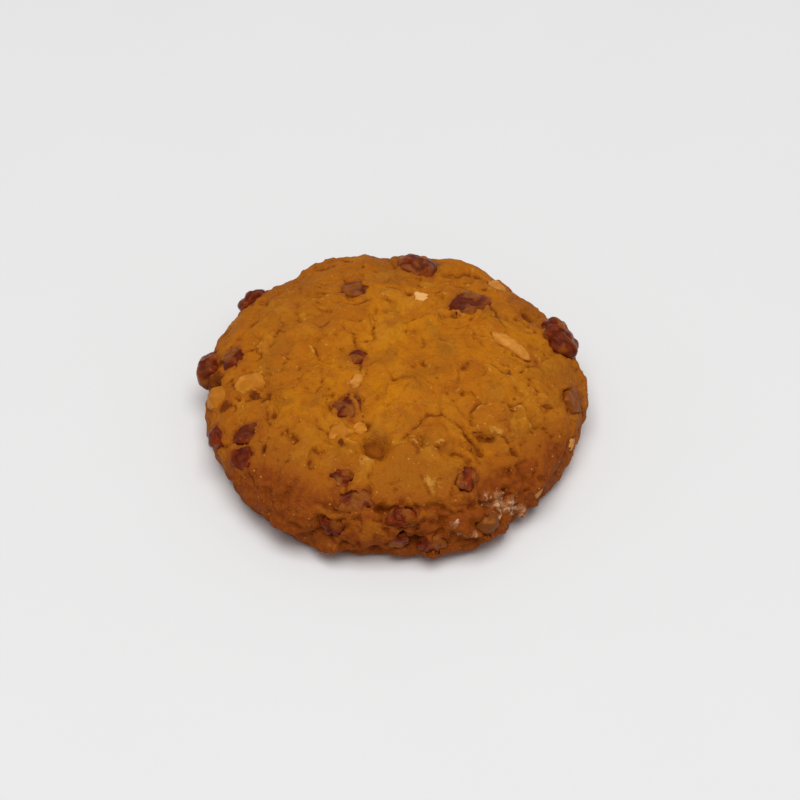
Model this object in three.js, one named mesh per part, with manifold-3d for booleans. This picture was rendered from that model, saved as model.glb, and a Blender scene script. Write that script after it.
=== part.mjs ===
// A thick round bakery cookie: golden dough with raisins and pieces of chopped nut baked into it.
// Millimetres, +Z up. The origin lies on the flat base, below the middle of the cookie.
// +X is the cookie's right and -Y its front, the side where the crust has broken open.
import * as THREE from "three";
import { ConvexGeometry } from "three/addons/geometries/ConvexGeometry.js";
import { mergeVertices } from "three/addons/utils/BufferGeometryUtils.js";
import Module from "manifold-3d";

// Driving dimensions of the dough
const MEAN_RADIUS = 39.4;
const CROWN_HEIGHT = 17.5; // at the middle
const EDGE_HEIGHT = 6; // of the widest line round the side
const SHOULDER = 2.8; // superellipse exponent from crown to widest line: 2 is round, more is squarer
const HEEL = 2.2; // the same, from widest line to base
const FOOT_SHARE = 0.9; // radius of the flat base, as a share of the plan radius
const DOUGH_DETAIL = 16; // divisions of each edge of the ball that the dough is shaped from

// How the plan departs from a circle: lobes round the edge, their size, and the bearing of one in degrees
const LOBES = [
  { count: 2, size: 0.5, bearing: -83 },
  { count: 3, size: 0.5, bearing: 13 },
  { count: 5, size: 0.25, bearing: 12 },
  { count: 6, size: 0.35, bearing: 0 },
  { count: 8, size: 0.3, bearing: 21 },
];

// Uneven dough: how wide and how high its lumps are
const LUMPS = { width: 12, height: 0.9, seed: 3 };
const KNOBS = { width: 5, height: 0.5, seed: 8 };
const CRAGS = { width: 4.5, height: 1.7, seed: 5 }; // on the side only: ridges with valleys between them
const CRAG_LEVEL = 0.4; // the share of the crags that stands out of the plain form
const CRAG_FROM = 13.5; // the height at which the crags begin
const CALM_FOOT = 2.5; // the height over which all relief fades out towards the base

// Broad swellings and hollows of the top, in plan
const SWELLS = [
  { at: [-19, -27], radius: 9, rise: 1.0 },
  { at: [7, -25], radius: 8, rise: 0.7 },
  { at: [-9, -15.5], radius: 6, rise: -1.3 },
  { at: [17.5, -22.5], radius: 4.2, rise: -1.5 },
  { at: [-26.5, -11], radius: 4, rise: -0.9 },
  { at: [-3.2, -23.1], radius: 2.6, rise: -2.2 },
  { at: [22, 14], radius: 10, rise: 0.6 },
  { at: [-17, 12], radius: 11, rise: 0.5 },
  { at: [28.5, 16], radius: 2.2, rise: -1.2 },
  { at: [-8, 34], radius: 5, rise: 1.6 },
  { at: [15, 33], radius: 5, rise: 0.8 },
];

// Cracks in the crust, depth deep. The crust on the left of the path stands up by lift.
const CRACKS = [
  {
    path: [onTop(16.4, -23.7), onTop(13.8, -18.2), onTop(9.4, -14.9), onTop(5.4, -17.6), onTop(-0.7, -25.2)],
    width: 1.0,
    depth: 0.9,
    lift: 0.6,
  },
  {
    path: [onTop(11.1, -15.1), onTop(16.1, -17.5), onTop(22, -19.9), onTop(24.5, -21.5)],
    width: 1.0,
    depth: 1.2,
    lift: 0.9,
  },
  {
    path: [onTop(-8.2, -24.4), onTop(-12.2, -21.8), onTop(-12.2, -14.3), onTop(-13.5, -7.4)],
    width: 1.1,
    depth: 0.8,
    lift: 0.5,
  },
  { path: [onTop(-7.1, -8.6), onTop(-5.8, -15.8), onTop(-5.2, -20.6)], width: 1.0, depth: 0.8, lift: 0.5 },
  { path: [onTop(9.5, 27.2), onTop(15.3, 28.8), onTop(20.5, 27.5)], width: 1.0, depth: 1.0, lift: 0.7 },
  {
    path: [onSide(-56, 9.5), onSide(-68, 12), onSide(-90, 12.6), onSide(-106, 12), onSide(-117, 11.5)],
    width: 1.1,
    depth: 1.3,
    lift: 0.7,
  },
];
const LIFT_FADE = 5; // how far behind its edge a lifted crust comes down again
const CRACK_END = 0.15; // share of a crack's length over which it closes at either end

// Each raisin lies where the dough's surface is, sunk along the surface's normal by sink.
// heading turns its length in the surface: from growing X on the top, from growing bearing on the side.
const RAISINS = [
  { at: onTop(5.5, 31), length: 11, width: 7, height: 6, heading: -30, sink: 1 },
  { at: onTop(-8, 21.8), length: 7, width: 6.2, height: 3.4, heading: 10, sink: 1 },
  { at: onTop(16, 16.7), length: 9.8, width: 8.2, height: 3.8, heading: 20, sink: 1.1 },
  { at: onTop(34.1, 10.1), length: 12, width: 7, height: 6.4, heading: -64, sink: 0.4 },
  { at: onSide(141, 11), length: 8.2, width: 5.6, height: 5, heading: 15, sink: 0.2 },
  { at: onSide(173, 9.6), length: 8.4, width: 6.2, height: 6, heading: -20, sink: 0.4 },
  { at: onTop(-32.6, 3.6), length: 6.8, width: 5, height: 3.4, heading: 75, sink: 0.9 },
  { at: onSide(-157, 9.6), length: 5.4, width: 4.6, height: 4.6, heading: 60, sink: 0.6 },
  { at: onTop(-28.7, -17.4), length: 7.2, width: 5.2, height: 3.4, heading: 20, sink: 0.95 },
  { at: onSide(-143, 11.6), length: 6.4, width: 4.8, height: 3.2, heading: -15, sink: 0.9 },
  { at: onTop(-9.2, -12.2), length: 7.2, width: 5.8, height: 3.8, heading: 70, sink: 1 },
  { at: onTop(14.1, -30.3), length: 6.2, width: 4.8, height: 3.2, heading: 70, sink: 0.9 },
  { at: onTop(-7.3, -35), length: 9.2, width: 4.8, height: 3.2, heading: 10, sink: 0.9 },
  { at: onSide(-87, 11.4), length: 6.8, width: 4.2, height: 3.2, heading: 0, sink: 0.9 },
  { at: onSide(-79, 6), length: 6, width: 4.4, height: 3.8, heading: 20, sink: 1 },
  { at: onSide(-9, 11.6), length: 7, width: 5.6, height: 4, heading: 60, sink: 1.2 },
  { at: onSide(118, 5), length: 8.4, width: 5, height: 4.2, heading: 15, sink: 1.3 },
  { at: onSide(58, 7.5), length: 7, width: 5.2, height: 4, heading: -35, sink: 0.9 },
  { at: onSide(92, 5.5), length: 5.6, width: 4.4, height: 3.6, heading: 10, sink: 0.9 },
];

// The nut pieces, placed in the same way
const NUTS = [
  { at: onTop(23.8, 4.7), length: 12.4, width: 4.2, height: 3.8, heading: -44, sink: 0.8 },
  { at: onTop(21.8, 26), length: 6, width: 4.8, height: 4.4, heading: -50, sink: 0.9 },
  { at: onTop(-28.8, -4.6), length: 8.6, width: 6.6, height: 4.8, heading: 5, sink: 1 },
  { at: onTop(-10.4, -19), length: 6.4, width: 5.6, height: 4.6, heading: 30, sink: 1.1 },
  { at: onSide(-172, 11.5), length: 7, width: 6.6, height: 4.8, heading: 30, sink: 0.9 },
  { at: onSide(-63, 7.6), length: 6.6, width: 5.8, height: 4.8, heading: 70, sink: 1.1 },
  { at: onSide(38, 6.5), length: 6.4, width: 4.8, height: 4.4, heading: 25, sink: 1 },
  { at: onSide(76, 7.5), length: 5.8, width: 4.6, height: 4.2, heading: -30, sink: 1 },
  { at: onSide(151, 6.5), length: 7, width: 5.2, height: 4.6, heading: 10, sink: 1 },
];

// Bits too small to be pieces of their own, which are one with the dough
const RAISIN_BITS = [
  { at: onTop(-9.7, -30.4), length: 4, width: 3.4, height: 3.4, heading: 40, sink: 0.8 },
  { at: onTop(-7, 0.6), length: 4.2, width: 3.6, height: 3.4, heading: 60, sink: 0.8 },
  { at: onSide(-107, 9.6), length: 4.8, width: 3.6, height: 3.6, heading: -10, sink: 0.8 },
  { at: onSide(-88, 6.6), length: 4.4, width: 3.4, height: 3.4, heading: 30, sink: 0.8 },
];
const NUT_BITS = [
  { at: onTop(5.8, 18.1), length: 3.4, width: 2.6, height: 2.8, heading: -15, sink: 0.4 },
  { at: onTop(-6.3, -18.3), length: 3, width: 2.4, height: 2.6, heading: 80, sink: 0.5 },
  { at: onTop(-7.1, -6.2), length: 3.2, width: 2.6, height: 2.8, heading: 40, sink: 0.4 },
  { at: onSide(-43, 6.6), length: 3, width: 2.6, height: 2.8, heading: 10, sink: 0.4 },
  { at: onSide(-22, 7), length: 3.2, width: 2.6, height: 2.8, heading: 50, sink: 0.4 },
];

const RAISIN_FOLDS = { perRadius: 2.2, depth: 0.16 }; // depth is a share of the radius
const NUT_CORNERS = 15;
const NUT_LEAST_REACH = 0.82; // how near the middle a corner may lie, as a share of the half size
const NUT_SEED = 7;
const POCKET_GAP = 0.35; // between a piece and the dough round it
const SMALL_PIECE = 6.5; // raisins shorter than this are shaped from the coarser of the two balls
const LARGE_BALL = 2;
const SMALL_BALL = 1;

const doughMaterial = new THREE.MeshStandardMaterial({ color: 0xb0691a, roughness: 0.8, metalness: 0 });
const raisinMaterial = new THREE.MeshStandardMaterial({ color: 0x5a2412, roughness: 0.45, metalness: 0 });
const nutMaterial = new THREE.MeshStandardMaterial({ color: 0xd08a36, roughness: 0.6, metalness: 0 });

// Repeatable noise

// A number from 0 to 1 that depends only on the four whole numbers given.
function scatter(i, j, k, seed) {
  let h = Math.imul(i, 374761393) + Math.imul(j, 668265263);
  h += Math.imul(k, 1440662683) + Math.imul(seed, 974634407);
  h = Math.imul(h ^ (h >>> 13), 1274126177);
  h = Math.imul(h ^ (h >>> 16), 1597334677);
  return ((h ^ (h >>> 15)) >>> 0) / 2 ** 32;
}

const NOISE_GAIN = 1.6; // brings the noise to about -1 to 1

// Smooth noise of about -1 to 1: each corner of a unit lattice tilts the value by a slope of its own.
function noise(x, y, z, seed) {
  const corner = [x, y, z].map(Math.floor);
  const inside = [x - corner[0], y - corner[1], z - corner[2]];
  const ease = inside.map((t) => t * t * t * (t * (6 * t - 15) + 10));
  let sum = 0;
  for (let n = 0; n < 8; n++) {
    const step = [n & 1, (n >> 1) & 1, n >> 2];
    const cell = corner.map((c, axis) => c + step[axis]);
    let slope = 0;
    let weight = 1;
    for (let axis = 0; axis < 3; axis++) {
      const tilt = 2 * scatter(cell[0], cell[1], cell[2], 3 * seed + axis) - 1;
      slope += tilt * (inside[axis] - step[axis]);
      weight *= step[axis] ? ease[axis] : 1 - ease[axis];
    }
    sum += weight * slope;
  }
  return NOISE_GAIN * sum;
}

function noiseAt(point, { width, seed }) {
  return noise(point.x / width, point.y / width, point.z / width, seed);
}

// The dough's plain form

function radians(degrees) {
  return THREE.MathUtils.degToRad(degrees);
}

function planRadius(bearing) {
  const wave = ({ count, size, bearing: first }) => size * Math.cos(count * (bearing - radians(first)));
  return LOBES.reduce((radius, lobe) => radius + wave(lobe), MEAN_RADIUS);
}

// The other coordinate of a unit superellipse.
function superellipse(share, exponent) {
  return (1 - Math.min(1, share) ** exponent) ** (1 / exponent);
}

// Share of the plan radius at a height on the side.
function sideShare(height) {
  if (height >= EDGE_HEIGHT) {
    return superellipse((height - EDGE_HEIGHT) / (CROWN_HEIGHT - EDGE_HEIGHT), SHOULDER);
  }
  return FOOT_SHARE + (1 - FOOT_SHARE) * superellipse((EDGE_HEIGHT - height) / EDGE_HEIGHT, HEEL);
}

// Outward normal, from how fast the share of the plan radius changes about the point.
function formNormal(point) {
  const step = 0.05;
  const level = (p) => {
    const reach = Math.hypot(p.x, p.y) / planRadius(Math.atan2(p.y, p.x));
    if (p.z < EDGE_HEIGHT) return reach - sideShare(p.z);
    return reach ** SHOULDER + ((p.z - EDGE_HEIGHT) / (CROWN_HEIGHT - EDGE_HEIGHT)) ** SHOULDER;
  };
  const slope = ["x", "y", "z"].map((axis) => {
    const ahead = point.clone();
    const behind = point.clone();
    ahead[axis] += step;
    behind[axis] -= step;
    return level(ahead) - level(behind);
  });
  return new THREE.Vector3(...slope).normalize();
}

// A place on the plain form, above a point of the plan.
function onTop(x, y) {
  const share = Math.hypot(x, y) / planRadius(Math.atan2(y, x));
  const height = EDGE_HEIGHT + (CROWN_HEIGHT - EDGE_HEIGHT) * superellipse(share, SHOULDER);
  return new THREE.Vector3(x, y, height);
}

// A place on the plain form, at a bearing in degrees and a height.
function onSide(bearing, height) {
  const radius = planRadius(radians(bearing)) * sideShare(height);
  const turn = radians(bearing);
  return new THREE.Vector3(radius * Math.cos(turn), radius * Math.sin(turn), height);
}

// Relief of the dough, measured along the normal of the plain form

function swellRelief(point) {
  return SWELLS.reduce((sum, { at, radius, rise }) => {
    const distance = Math.hypot(point.x - at[0], point.y - at[1]);
    return sum + rise * Math.exp(-((distance / radius) ** 2));
  }, 0);
}

function crackRelief(point, { path, width, depth, lift }) {
  const smooth = THREE.MathUtils.smoothstep;
  const onLine = new THREE.Vector3();
  let distance = Infinity;
  let side = 0;
  let along = 0;
  path.slice(1).forEach((end, n) => {
    const line = new THREE.Line3(path[n], end);
    const share = line.closestPointToPointParameter(point, true);
    line.at(share, onLine);
    if (onLine.distanceTo(point) >= distance) return;
    distance = onLine.distanceTo(point);
    along = (n + share) / (path.length - 1);
    const across = line.delta(new THREE.Vector3()).cross(point.clone().sub(onLine));
    side = across.dot(formNormal(onLine));
  });
  const open = smooth(along, 0, CRACK_END) * smooth(1 - along, 0, CRACK_END);
  const groove = -depth * Math.exp(-((distance / width) ** 2));
  const raised = side > 0 ? lift * Math.exp(-distance / LIFT_FADE) : 0;
  return open * (groove + raised);
}

function relief(point) {
  const smooth = THREE.MathUtils.smoothstep;
  const onWall = 1 - smooth(point.z, EDGE_HEIGHT, CRAG_FROM);
  const uneven = LUMPS.height * noiseAt(point, LUMPS) + KNOBS.height * noiseAt(point, KNOBS);
  const craggy = onWall * CRAGS.height * (CRAG_LEVEL - Math.abs(noiseAt(point, CRAGS)));
  const cracked = CRACKS.reduce((sum, crack) => sum + crackRelief(point, crack), 0);
  const raised = point.z > EDGE_HEIGHT ? swellRelief(point) : 0;
  return smooth(point.z, 0, CALM_FOOT) * (uneven + craggy + cracked + raised);
}

// The dough as a mesh

// Profile of the plain form, as a share of the plan radius and a height: from the crown (0) over the
// widest line (1) and the foot (2) to the middle of the base (3).
function profile(s) {
  const turn = (Math.PI / 2) * (s % 1);
  if (s < 1) {
    const height = (CROWN_HEIGHT - EDGE_HEIGHT) * Math.cos(turn) ** (2 / SHOULDER);
    return [Math.sin(turn) ** (2 / SHOULDER), EDGE_HEIGHT + height];
  }
  if (s < 2) {
    const share = FOOT_SHARE + (1 - FOOT_SHARE) * Math.cos(turn) ** (2 / HEEL);
    return [share, EDGE_HEIGHT * (1 - Math.sin(turn) ** (2 / HEEL))];
  }
  return [FOOT_SHARE * (3 - s), 0];
}

// The profile again, as a function of the share of surface that lies above, so that an even ball keeps
// even faces. The flat base needs few faces, so its surface counts for less.
function evenProfile() {
  const STEPS_EACH = 120;
  const BASE_WEIGHT = 0.12;
  const points = Array.from({ length: 3 * STEPS_EACH + 1 }, (_, n) => profile(n / STEPS_EACH));
  const above = [0];
  for (let n = 1; n < points.length; n++) {
    const [r0, z0] = points[n - 1];
    const [r1, z1] = points[n];
    const band = (r0 + r1) * Math.hypot((r1 - r0) * MEAN_RADIUS, z1 - z0);
    above.push(above[n - 1] + band * (n > 2 * STEPS_EACH ? BASE_WEIGHT : 1));
  }
  const total = above[above.length - 1];
  return (share) => {
    const next = above.findIndex((a) => a >= share * total);
    if (next <= 0) return points[0];
    const t = (share * total - above[next - 1]) / (above[next] - above[next - 1]);
    return points[next].map((value, axis) => THREE.MathUtils.lerp(points[next - 1][axis], value, t));
  };
}

// Leaves only the positions, with shared corners merged.
function closed(geometry) {
  const bare = new THREE.BufferGeometry().setAttribute("position", geometry.getAttribute("position"));
  if (geometry.index) bare.setIndex(geometry.index);
  return mergeVertices(bare, 1e-4);
}

// Moves every corner of a geometry to where the function puts it.
function reshape(geometry, move) {
  const positions = geometry.getAttribute("position");
  const corner = new THREE.Vector3();
  for (let n = 0; n < positions.count; n++) {
    move(corner.fromBufferAttribute(positions, n), n);
    positions.setXYZ(n, corner.x, corner.y, corner.z);
  }
  return geometry;
}

function doughGeometry() {
  const profileAt = evenProfile();
  const geometry = reshape(closed(new THREE.IcosahedronGeometry(1, DOUGH_DETAIL)), (corner) => {
    const bearing = Math.atan2(corner.y, corner.x);
    const [share, height] = profileAt((1 - corner.z) / 2);
    const radius = share * planRadius(bearing);
    corner.set(radius * Math.cos(bearing), radius * Math.sin(bearing), height);
  });
  geometry.computeVertexNormals();
  const normals = geometry.getAttribute("normal").clone();
  geometry.deleteAttribute("normal");
  return reshape(geometry, (corner, n) => {
    const out = new THREE.Vector3().fromBufferAttribute(normals, n);
    corner.addScaledVector(out, relief(corner));
    corner.z = Math.max(0, corner.z);
  });
}

// The pieces in the dough

// A raisin: an ellipsoid drawn into lumps. grow widens it all round.
function raisinGeometry({ length, width, height }, seed, grow) {
  const detail = length < SMALL_PIECE ? SMALL_BALL : LARGE_BALL;
  const { perRadius, depth } = RAISIN_FOLDS;
  return reshape(closed(new THREE.IcosahedronGeometry(1, detail)), (corner) => {
    const fold = noise(corner.x * perRadius, corner.y * perRadius, corner.z * perRadius, seed);
    corner.multiplyScalar(0.5 * (1 + depth * fold));
    corner.set(corner.x * length, corner.y * width, corner.z * height);
    corner.setLength(corner.length() + grow);
  });
}

// A chopped piece of nut: the hull of corners spread round an ellipsoid in a spiral, some nearer by chance.
function nutGeometry({ length, width, height }, seed, grow) {
  const GOLDEN_ANGLE = Math.PI * (3 - Math.sqrt(5));
  const corners = Array.from({ length: NUT_CORNERS }, (_, n) => {
    const z = 1 - (2 * n + 1) / NUT_CORNERS;
    const ring = Math.sqrt(1 - z * z);
    const reach = 0.5 * THREE.MathUtils.lerp(NUT_LEAST_REACH, 1, scatter(n, seed, 1, NUT_SEED));
    const corner = new THREE.Vector3(ring * Math.cos(GOLDEN_ANGLE * n), ring * Math.sin(GOLDEN_ANGLE * n), z);
    corner.multiplyScalar(reach);
    corner.set(corner.x * length, corner.y * width, corner.z * height);
    return corner.setLength(corner.length() + grow);
  });
  return closed(new ConvexGeometry(corners));
}

// Puts a piece where it lies: its height along the surface's normal, its length turned by heading.
function lay(mesh, { at, heading, sink }) {
  const normal = formNormal(at);
  const steep = normal.z < Math.SQRT1_2;
  const start = steep ? new THREE.Vector3(-normal.y, normal.x, 0) : new THREE.Vector3(1, 0, 0);
  const along = start.addScaledVector(normal, -start.dot(normal)).normalize();
  along.applyAxisAngle(normal, radians(heading));
  const across = normal.clone().cross(along);
  mesh.quaternion.setFromRotationMatrix(new THREE.Matrix4().makeBasis(along, across, normal));
  mesh.position.copy(at).addScaledVector(normal, relief(at) - sink);
  mesh.updateMatrix();
  return mesh;
}

// Every item of a list as a mesh in its place, each with a shape of its own, and wider all round by grow.
function layAll(list, shape, material, grow = 0) {
  return list.map((item, n) => lay(new THREE.Mesh(shape(item, n + 1, grow), material), item));
}

function named(meshes, name) {
  meshes.forEach((mesh, n) => {
    mesh.name = `${name}_${String(n + 1).padStart(2, "0")}`;
  });
  return meshes;
}

const wasm = await Module();
wasm.setup();

function solid(geometry) {
  const vertProperties = new Float32Array(geometry.getAttribute("position").array);
  const triVerts = new Uint32Array(geometry.index.array);
  return new wasm.Manifold(new wasm.Mesh({ numProp: 3, vertProperties, triVerts }));
}

function placedSolid(mesh) {
  return solid(mesh.geometry.clone().applyMatrix4(mesh.matrix));
}

function geometryOf(body) {
  const { vertProperties, triVerts } = body.getMesh();
  const positions = new THREE.BufferAttribute(new Float32Array(vertProperties), 3);
  return new THREE.BufferGeometry()
    .setAttribute("position", positions)
    .setIndex(new THREE.BufferAttribute(new Uint32Array(triVerts), 1));
}

// The dough with the small bits joined to it and a pocket cut for each raisin and nut piece.
function doughMesh() {
  const bits = [...layAll(RAISIN_BITS, raisinGeometry), ...layAll(NUT_BITS, nutGeometry)];
  const pockets = [
    ...layAll(RAISINS, raisinGeometry, raisinMaterial, POCKET_GAP),
    ...layAll(NUTS, nutGeometry, nutMaterial, POCKET_GAP),
  ];
  let body = solid(doughGeometry());
  for (const bit of bits) body = body.add(placedSolid(bit));
  for (const pocket of pockets) body = body.subtract(placedSolid(pocket));
  const mesh = new THREE.Mesh(geometryOf(body), doughMaterial);
  mesh.name = "dough";
  return mesh;
}

const cookie = new THREE.Group();
cookie.name = "cookie";
cookie.add(doughMesh());
cookie.add(...named(layAll(RAISINS, raisinGeometry, raisinMaterial), "raisin"));
cookie.add(...named(layAll(NUTS, nutGeometry, nutMaterial), "nut"));

export default cookie;
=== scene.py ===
"""Looks of a thick round lemon cookie with raisins and chopped nuts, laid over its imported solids.

The dough, the raisins and the nut pieces are surfaces worked out with numpy in millimetres and stored in
metres. The dough repeats the named sizes of its solid and adds the fine crumb. Every raisin and nut piece
takes its place and form from its own solid.
"""

import logging
import math
from dataclasses import dataclass, field
from enum import Enum

import bpy
import numpy as np
from mathutils import Euler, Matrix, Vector


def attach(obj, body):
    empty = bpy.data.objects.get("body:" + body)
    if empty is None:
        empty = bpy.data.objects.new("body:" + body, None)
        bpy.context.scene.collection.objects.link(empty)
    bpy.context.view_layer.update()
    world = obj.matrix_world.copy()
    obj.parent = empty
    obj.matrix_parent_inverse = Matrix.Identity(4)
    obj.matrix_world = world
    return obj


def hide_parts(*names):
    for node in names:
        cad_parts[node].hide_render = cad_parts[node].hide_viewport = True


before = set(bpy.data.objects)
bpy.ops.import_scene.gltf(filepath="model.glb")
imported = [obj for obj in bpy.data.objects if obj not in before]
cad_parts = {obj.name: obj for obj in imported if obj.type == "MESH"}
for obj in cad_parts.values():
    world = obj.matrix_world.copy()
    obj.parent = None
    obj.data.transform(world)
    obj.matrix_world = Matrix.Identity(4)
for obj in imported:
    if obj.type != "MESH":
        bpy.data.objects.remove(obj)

Array = np.ndarray
LOG = logging.getLogger("cookie")
MM = 0.001
BODY = "root"

# Turns the lattice of the noise off the axes
TURN = np.array(Euler((0.6, 0.4, 0.9)).to_matrix())

# Brings the noise to about -1 to 1
NOISE_GAIN = 1.6

# Plates of the crust: how sharply one gives way to the next, their tilt, and where the chips' seeds start
PLATE_SHARPNESS = 5.0
PLATE_TILT = 0.6
CHIP_SEED = 100

# Keeps a length from being divided by 0
TINY = 1e-6

# Where the upright part of the outward direction is below this, a place lies on the side of the dough
STEEP = math.sqrt(0.5)


class Slot(Enum):
    """Material slots: dough, raisin and nut."""

    DOUGH = "dough"
    RAISIN = "raisin"
    NUT = "nut"


class Tone(Enum):
    """Point attributes that the finishes read, each from 0 to 1."""

    BROWN = "brown"
    FRESH = "fresh"
    TAN = "tan"
    # Painted shade in hollows, folds, nicks and the pit
    HOLLOW_SHADE = "hollow_shade"
    FLOUR = "flour"
    STAIN = "stain"
    # Distance to cracks and gaps, which are painted with shade
    CRACK_SHADE = "crack"
    BLOOM = "bloom"
    PLATE = "plate"
    # Painted highlight on crests and on the raised tops of pale crumb
    CREST_HIGHLIGHT = "crest_highlight"


# Repeatable noise


def smooth(low: float, high: float, values: Array) -> Array:
    """Rises from 0 at low to 1 at high, level at both ends."""
    t = np.clip((values - low) / (high - low), 0.0, 1.0)
    return t * t * (3.0 - 2.0 * t)


def bell(values: Array, power: float = 2.0) -> Array:
    """1 at 0, falling off as e to the minus power of the value."""
    return np.exp(-(values**power))


def scatter(cells: Array, seed: int) -> Array:
    """Gives every cell of a lattice a number of its own.

    The whole numbers of the cell and the seed are multiplied by large primes and summed, and the bits of
    the sum are mixed by shifting and multiplying.

    Args:
        cells: Whole numbers, three for each cell.
        seed: Which of the many such sets of numbers.

    Returns:
        Numbers from 0 to 1, one for each cell.
    """
    i, j, k = np.moveaxis(cells.astype(np.int64).astype(np.uint32), -1, 0)
    mixed = i * np.uint32(374761393) + j * np.uint32(668265263)
    mixed = mixed + k * np.uint32(1440662683) + np.uint32(seed * 974634407 % 2**32)
    mixed = (mixed ^ (mixed >> np.uint32(13))) * np.uint32(1274126177)
    mixed = (mixed ^ (mixed >> np.uint32(16))) * np.uint32(1597334677)
    return (mixed ^ (mixed >> np.uint32(15))) / 2.0**32


def noise(points: Array, width: float, seed: int) -> Array:
    """Smooth noise of about -1 to 1.

    Each corner of a lattice tilts the value by a slope of its own, and the eight corners round a point
    are weighed by an eased share of how near they are.

    Args:
        points: Places in millimetres.
        width: Spacing of the lattice in millimetres.
        seed: Which noise.

    Returns:
        One value for each point.
    """
    scaled = points / width
    corner = np.floor(scaled)
    inside = scaled - corner
    ease = inside**3 * (inside * (6.0 * inside - 15.0) + 10.0)
    total = np.zeros(points.shape[:-1])
    for step in np.ndindex(2, 2, 2):
        offset = np.array(step)
        weight = np.where(offset == 1, ease, 1.0 - ease).prod(axis=-1)
        for axis in range(3):
            tilt = 2.0 * scatter(corner + offset, 3 * seed + axis) - 1.0
            total += weight * tilt * (inside[..., axis] - offset[axis])
    return NOISE_GAIN * total


def askew(points: Array, width: float, seed: int) -> Array:
    """The same noise on a lattice turned off the axes, so that nothing lines up with its cells."""
    return noise(points @ TURN, width, seed)


def fractal(points: Array, width: float, seed: int, octaves: int = 3) -> Array:
    """Noise with finer noise on it, each octave half as wide and half as high."""
    return sum(askew(points, width / 2**n, seed + n) / 2**n for n in range(octaves))


def furrows(points: Array, width: float, seed: int, spread: float) -> Array:
    """1 along the lines where a noise crosses 0, and a bell of the noise over spread beside them."""
    return bell(askew(points, width, seed) / spread)


@dataclass(frozen=True)
class Patchy:
    """Patches by chance: how wide they are, and the values of their noise where they begin and are full."""

    width: float
    low: float
    high: float
    seed: int

    def share(self, points: Array, more: float = 0.0) -> Array:
        """How far each point lies inside a patch, from 0 to 1, with the ramp moved down by more."""
        return smooth(self.low - more, self.high - more, askew(points, self.width, self.seed))


@dataclass(frozen=True)
class Drift:
    """Noise that moves points about, so that what is measured from them comes out ragged."""

    width: float
    reach: float
    seed: int

    def moved(self, points: Array) -> Array:
        """Adds to each coordinate reach times a noise of its own."""
        shifts = [askew(points, self.width, self.seed + axis) for axis in range(3)]
        return points + self.reach * np.stack(shifts, axis=-1)


def drifted(points: Array, drifts: tuple[Drift, ...]) -> Array:
    """Moves points by one drift after another.

    Args:
        points: Places in millimetres.
        drifts: The drifts in order, the broadest first.

    Returns:
        The moved places.
    """
    for drift in drifts:
        points = drift.moved(points)
    return points


@dataclass(frozen=True)
class Fragments:
    """Broken plates at each point.

    border is the gap to the next plate, tint a number from 0 to 1, and level one of about -1 to 1.
    """

    border: Array
    tint: Array
    level: Array


def fragments(points: Array, width: float, seed: int) -> Fragments:
    """Splits space into plates, each round a middle placed by chance in its lattice cell.

    Every plate has a tint, a level and a tilt of its own. The plates round a point are weighed by e to the
    minus distance of their middles, so that one eases into the next over a short step.

    Args:
        points: Places in millimetres.
        width: Mean size of a plate in millimetres.
        seed: Which split.

    Returns:
        The plates at the points. Their border is the second nearest middle's distance less the nearest's.
    """
    home = np.floor(points / width)
    nearest = np.full(points.shape[:-1], np.inf)
    second = nearest.copy()
    weights, tint, level = np.zeros((3, *points.shape[:-1]))
    for step in np.ndindex(3, 3, 3):
        cell = home + np.array(step) - 1
        draw = np.stack([scatter(cell, seed + n) for n in range(8)], axis=-1)
        offset = points - (cell + draw[..., :3]) * width
        distance = np.linalg.norm(offset, axis=-1)
        second = np.minimum(second, np.maximum(nearest, distance))
        nearest = np.minimum(nearest, distance)
        weight = np.exp(-PLATE_SHARPNESS * distance)
        tilt = np.einsum("...i,...i->...", offset, 2.0 * draw[..., 5:] - 1.0) / width
        weights += weight
        tint += weight * draw[..., 3]
        level += weight * (draw[..., 4] - 0.5 + PLATE_TILT * tilt)
    return Fragments(second - nearest, tint / weights, level / weights)


# Features of the dough, in millimetres and degrees


@dataclass(frozen=True)
class Lobe:
    """One wave of the plan's outline: how many lobes, how high, and the bearing of one of them."""

    count: int
    size: float
    bearing: float


@dataclass(frozen=True)
class Ripple:
    """Uneven dough: how wide and how high its lumps are."""

    width: float
    height: float
    seed: int

    def relief(self, points: Array) -> Array:
        """Height of the lumps at each point."""
        return self.height * noise(points, self.width, self.seed)


@dataclass(frozen=True)
class Swell:
    """A broad swelling, or a hollow where rise is below 0. A higher power makes its floor flatter."""

    x: float
    y: float
    radius: float
    rise: float
    power: float = 2.0

    def relief(self, points: Array) -> Array:
        """Rise times a bell of the distance in plan, measured in radii."""
        distance = np.hypot(points[..., 0] - self.x, points[..., 1] - self.y)
        return self.rise * bell(distance / self.radius, self.power)


@dataclass(frozen=True)
class Strewn:
    """Small round bumps, or pits where heights are below 0, at most one in each cell of a lattice."""

    cell: float
    share: float
    radius: tuple[float, float]
    height: tuple[float, float]
    power: float
    seed: int

    def relief(self, points: Array) -> Array:
        """Sums over the near cells the height of a bump times a bell of the distance in radii.

        Args:
            points: Places in millimetres.

        Returns:
            The height at each place.
        """
        home = np.floor(points / self.cell)
        total = np.zeros(points.shape[:-1])
        for step in np.ndindex(3, 3, 3):
            cell = home + np.array(step) - 1
            draw = [scatter(cell, self.seed + n) for n in range(6)]
            middle = (cell + np.stack(draw[:3], axis=-1)) * self.cell
            radius = self.radius[0] + (self.radius[1] - self.radius[0]) * draw[3]
            height = self.height[0] + (self.height[1] - self.height[0]) * draw[4]
            distance = np.linalg.norm(points - middle, axis=-1)
            total += np.where(draw[5] < self.share, height * bell(distance / radius, self.power), 0.0)
        return total


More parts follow.
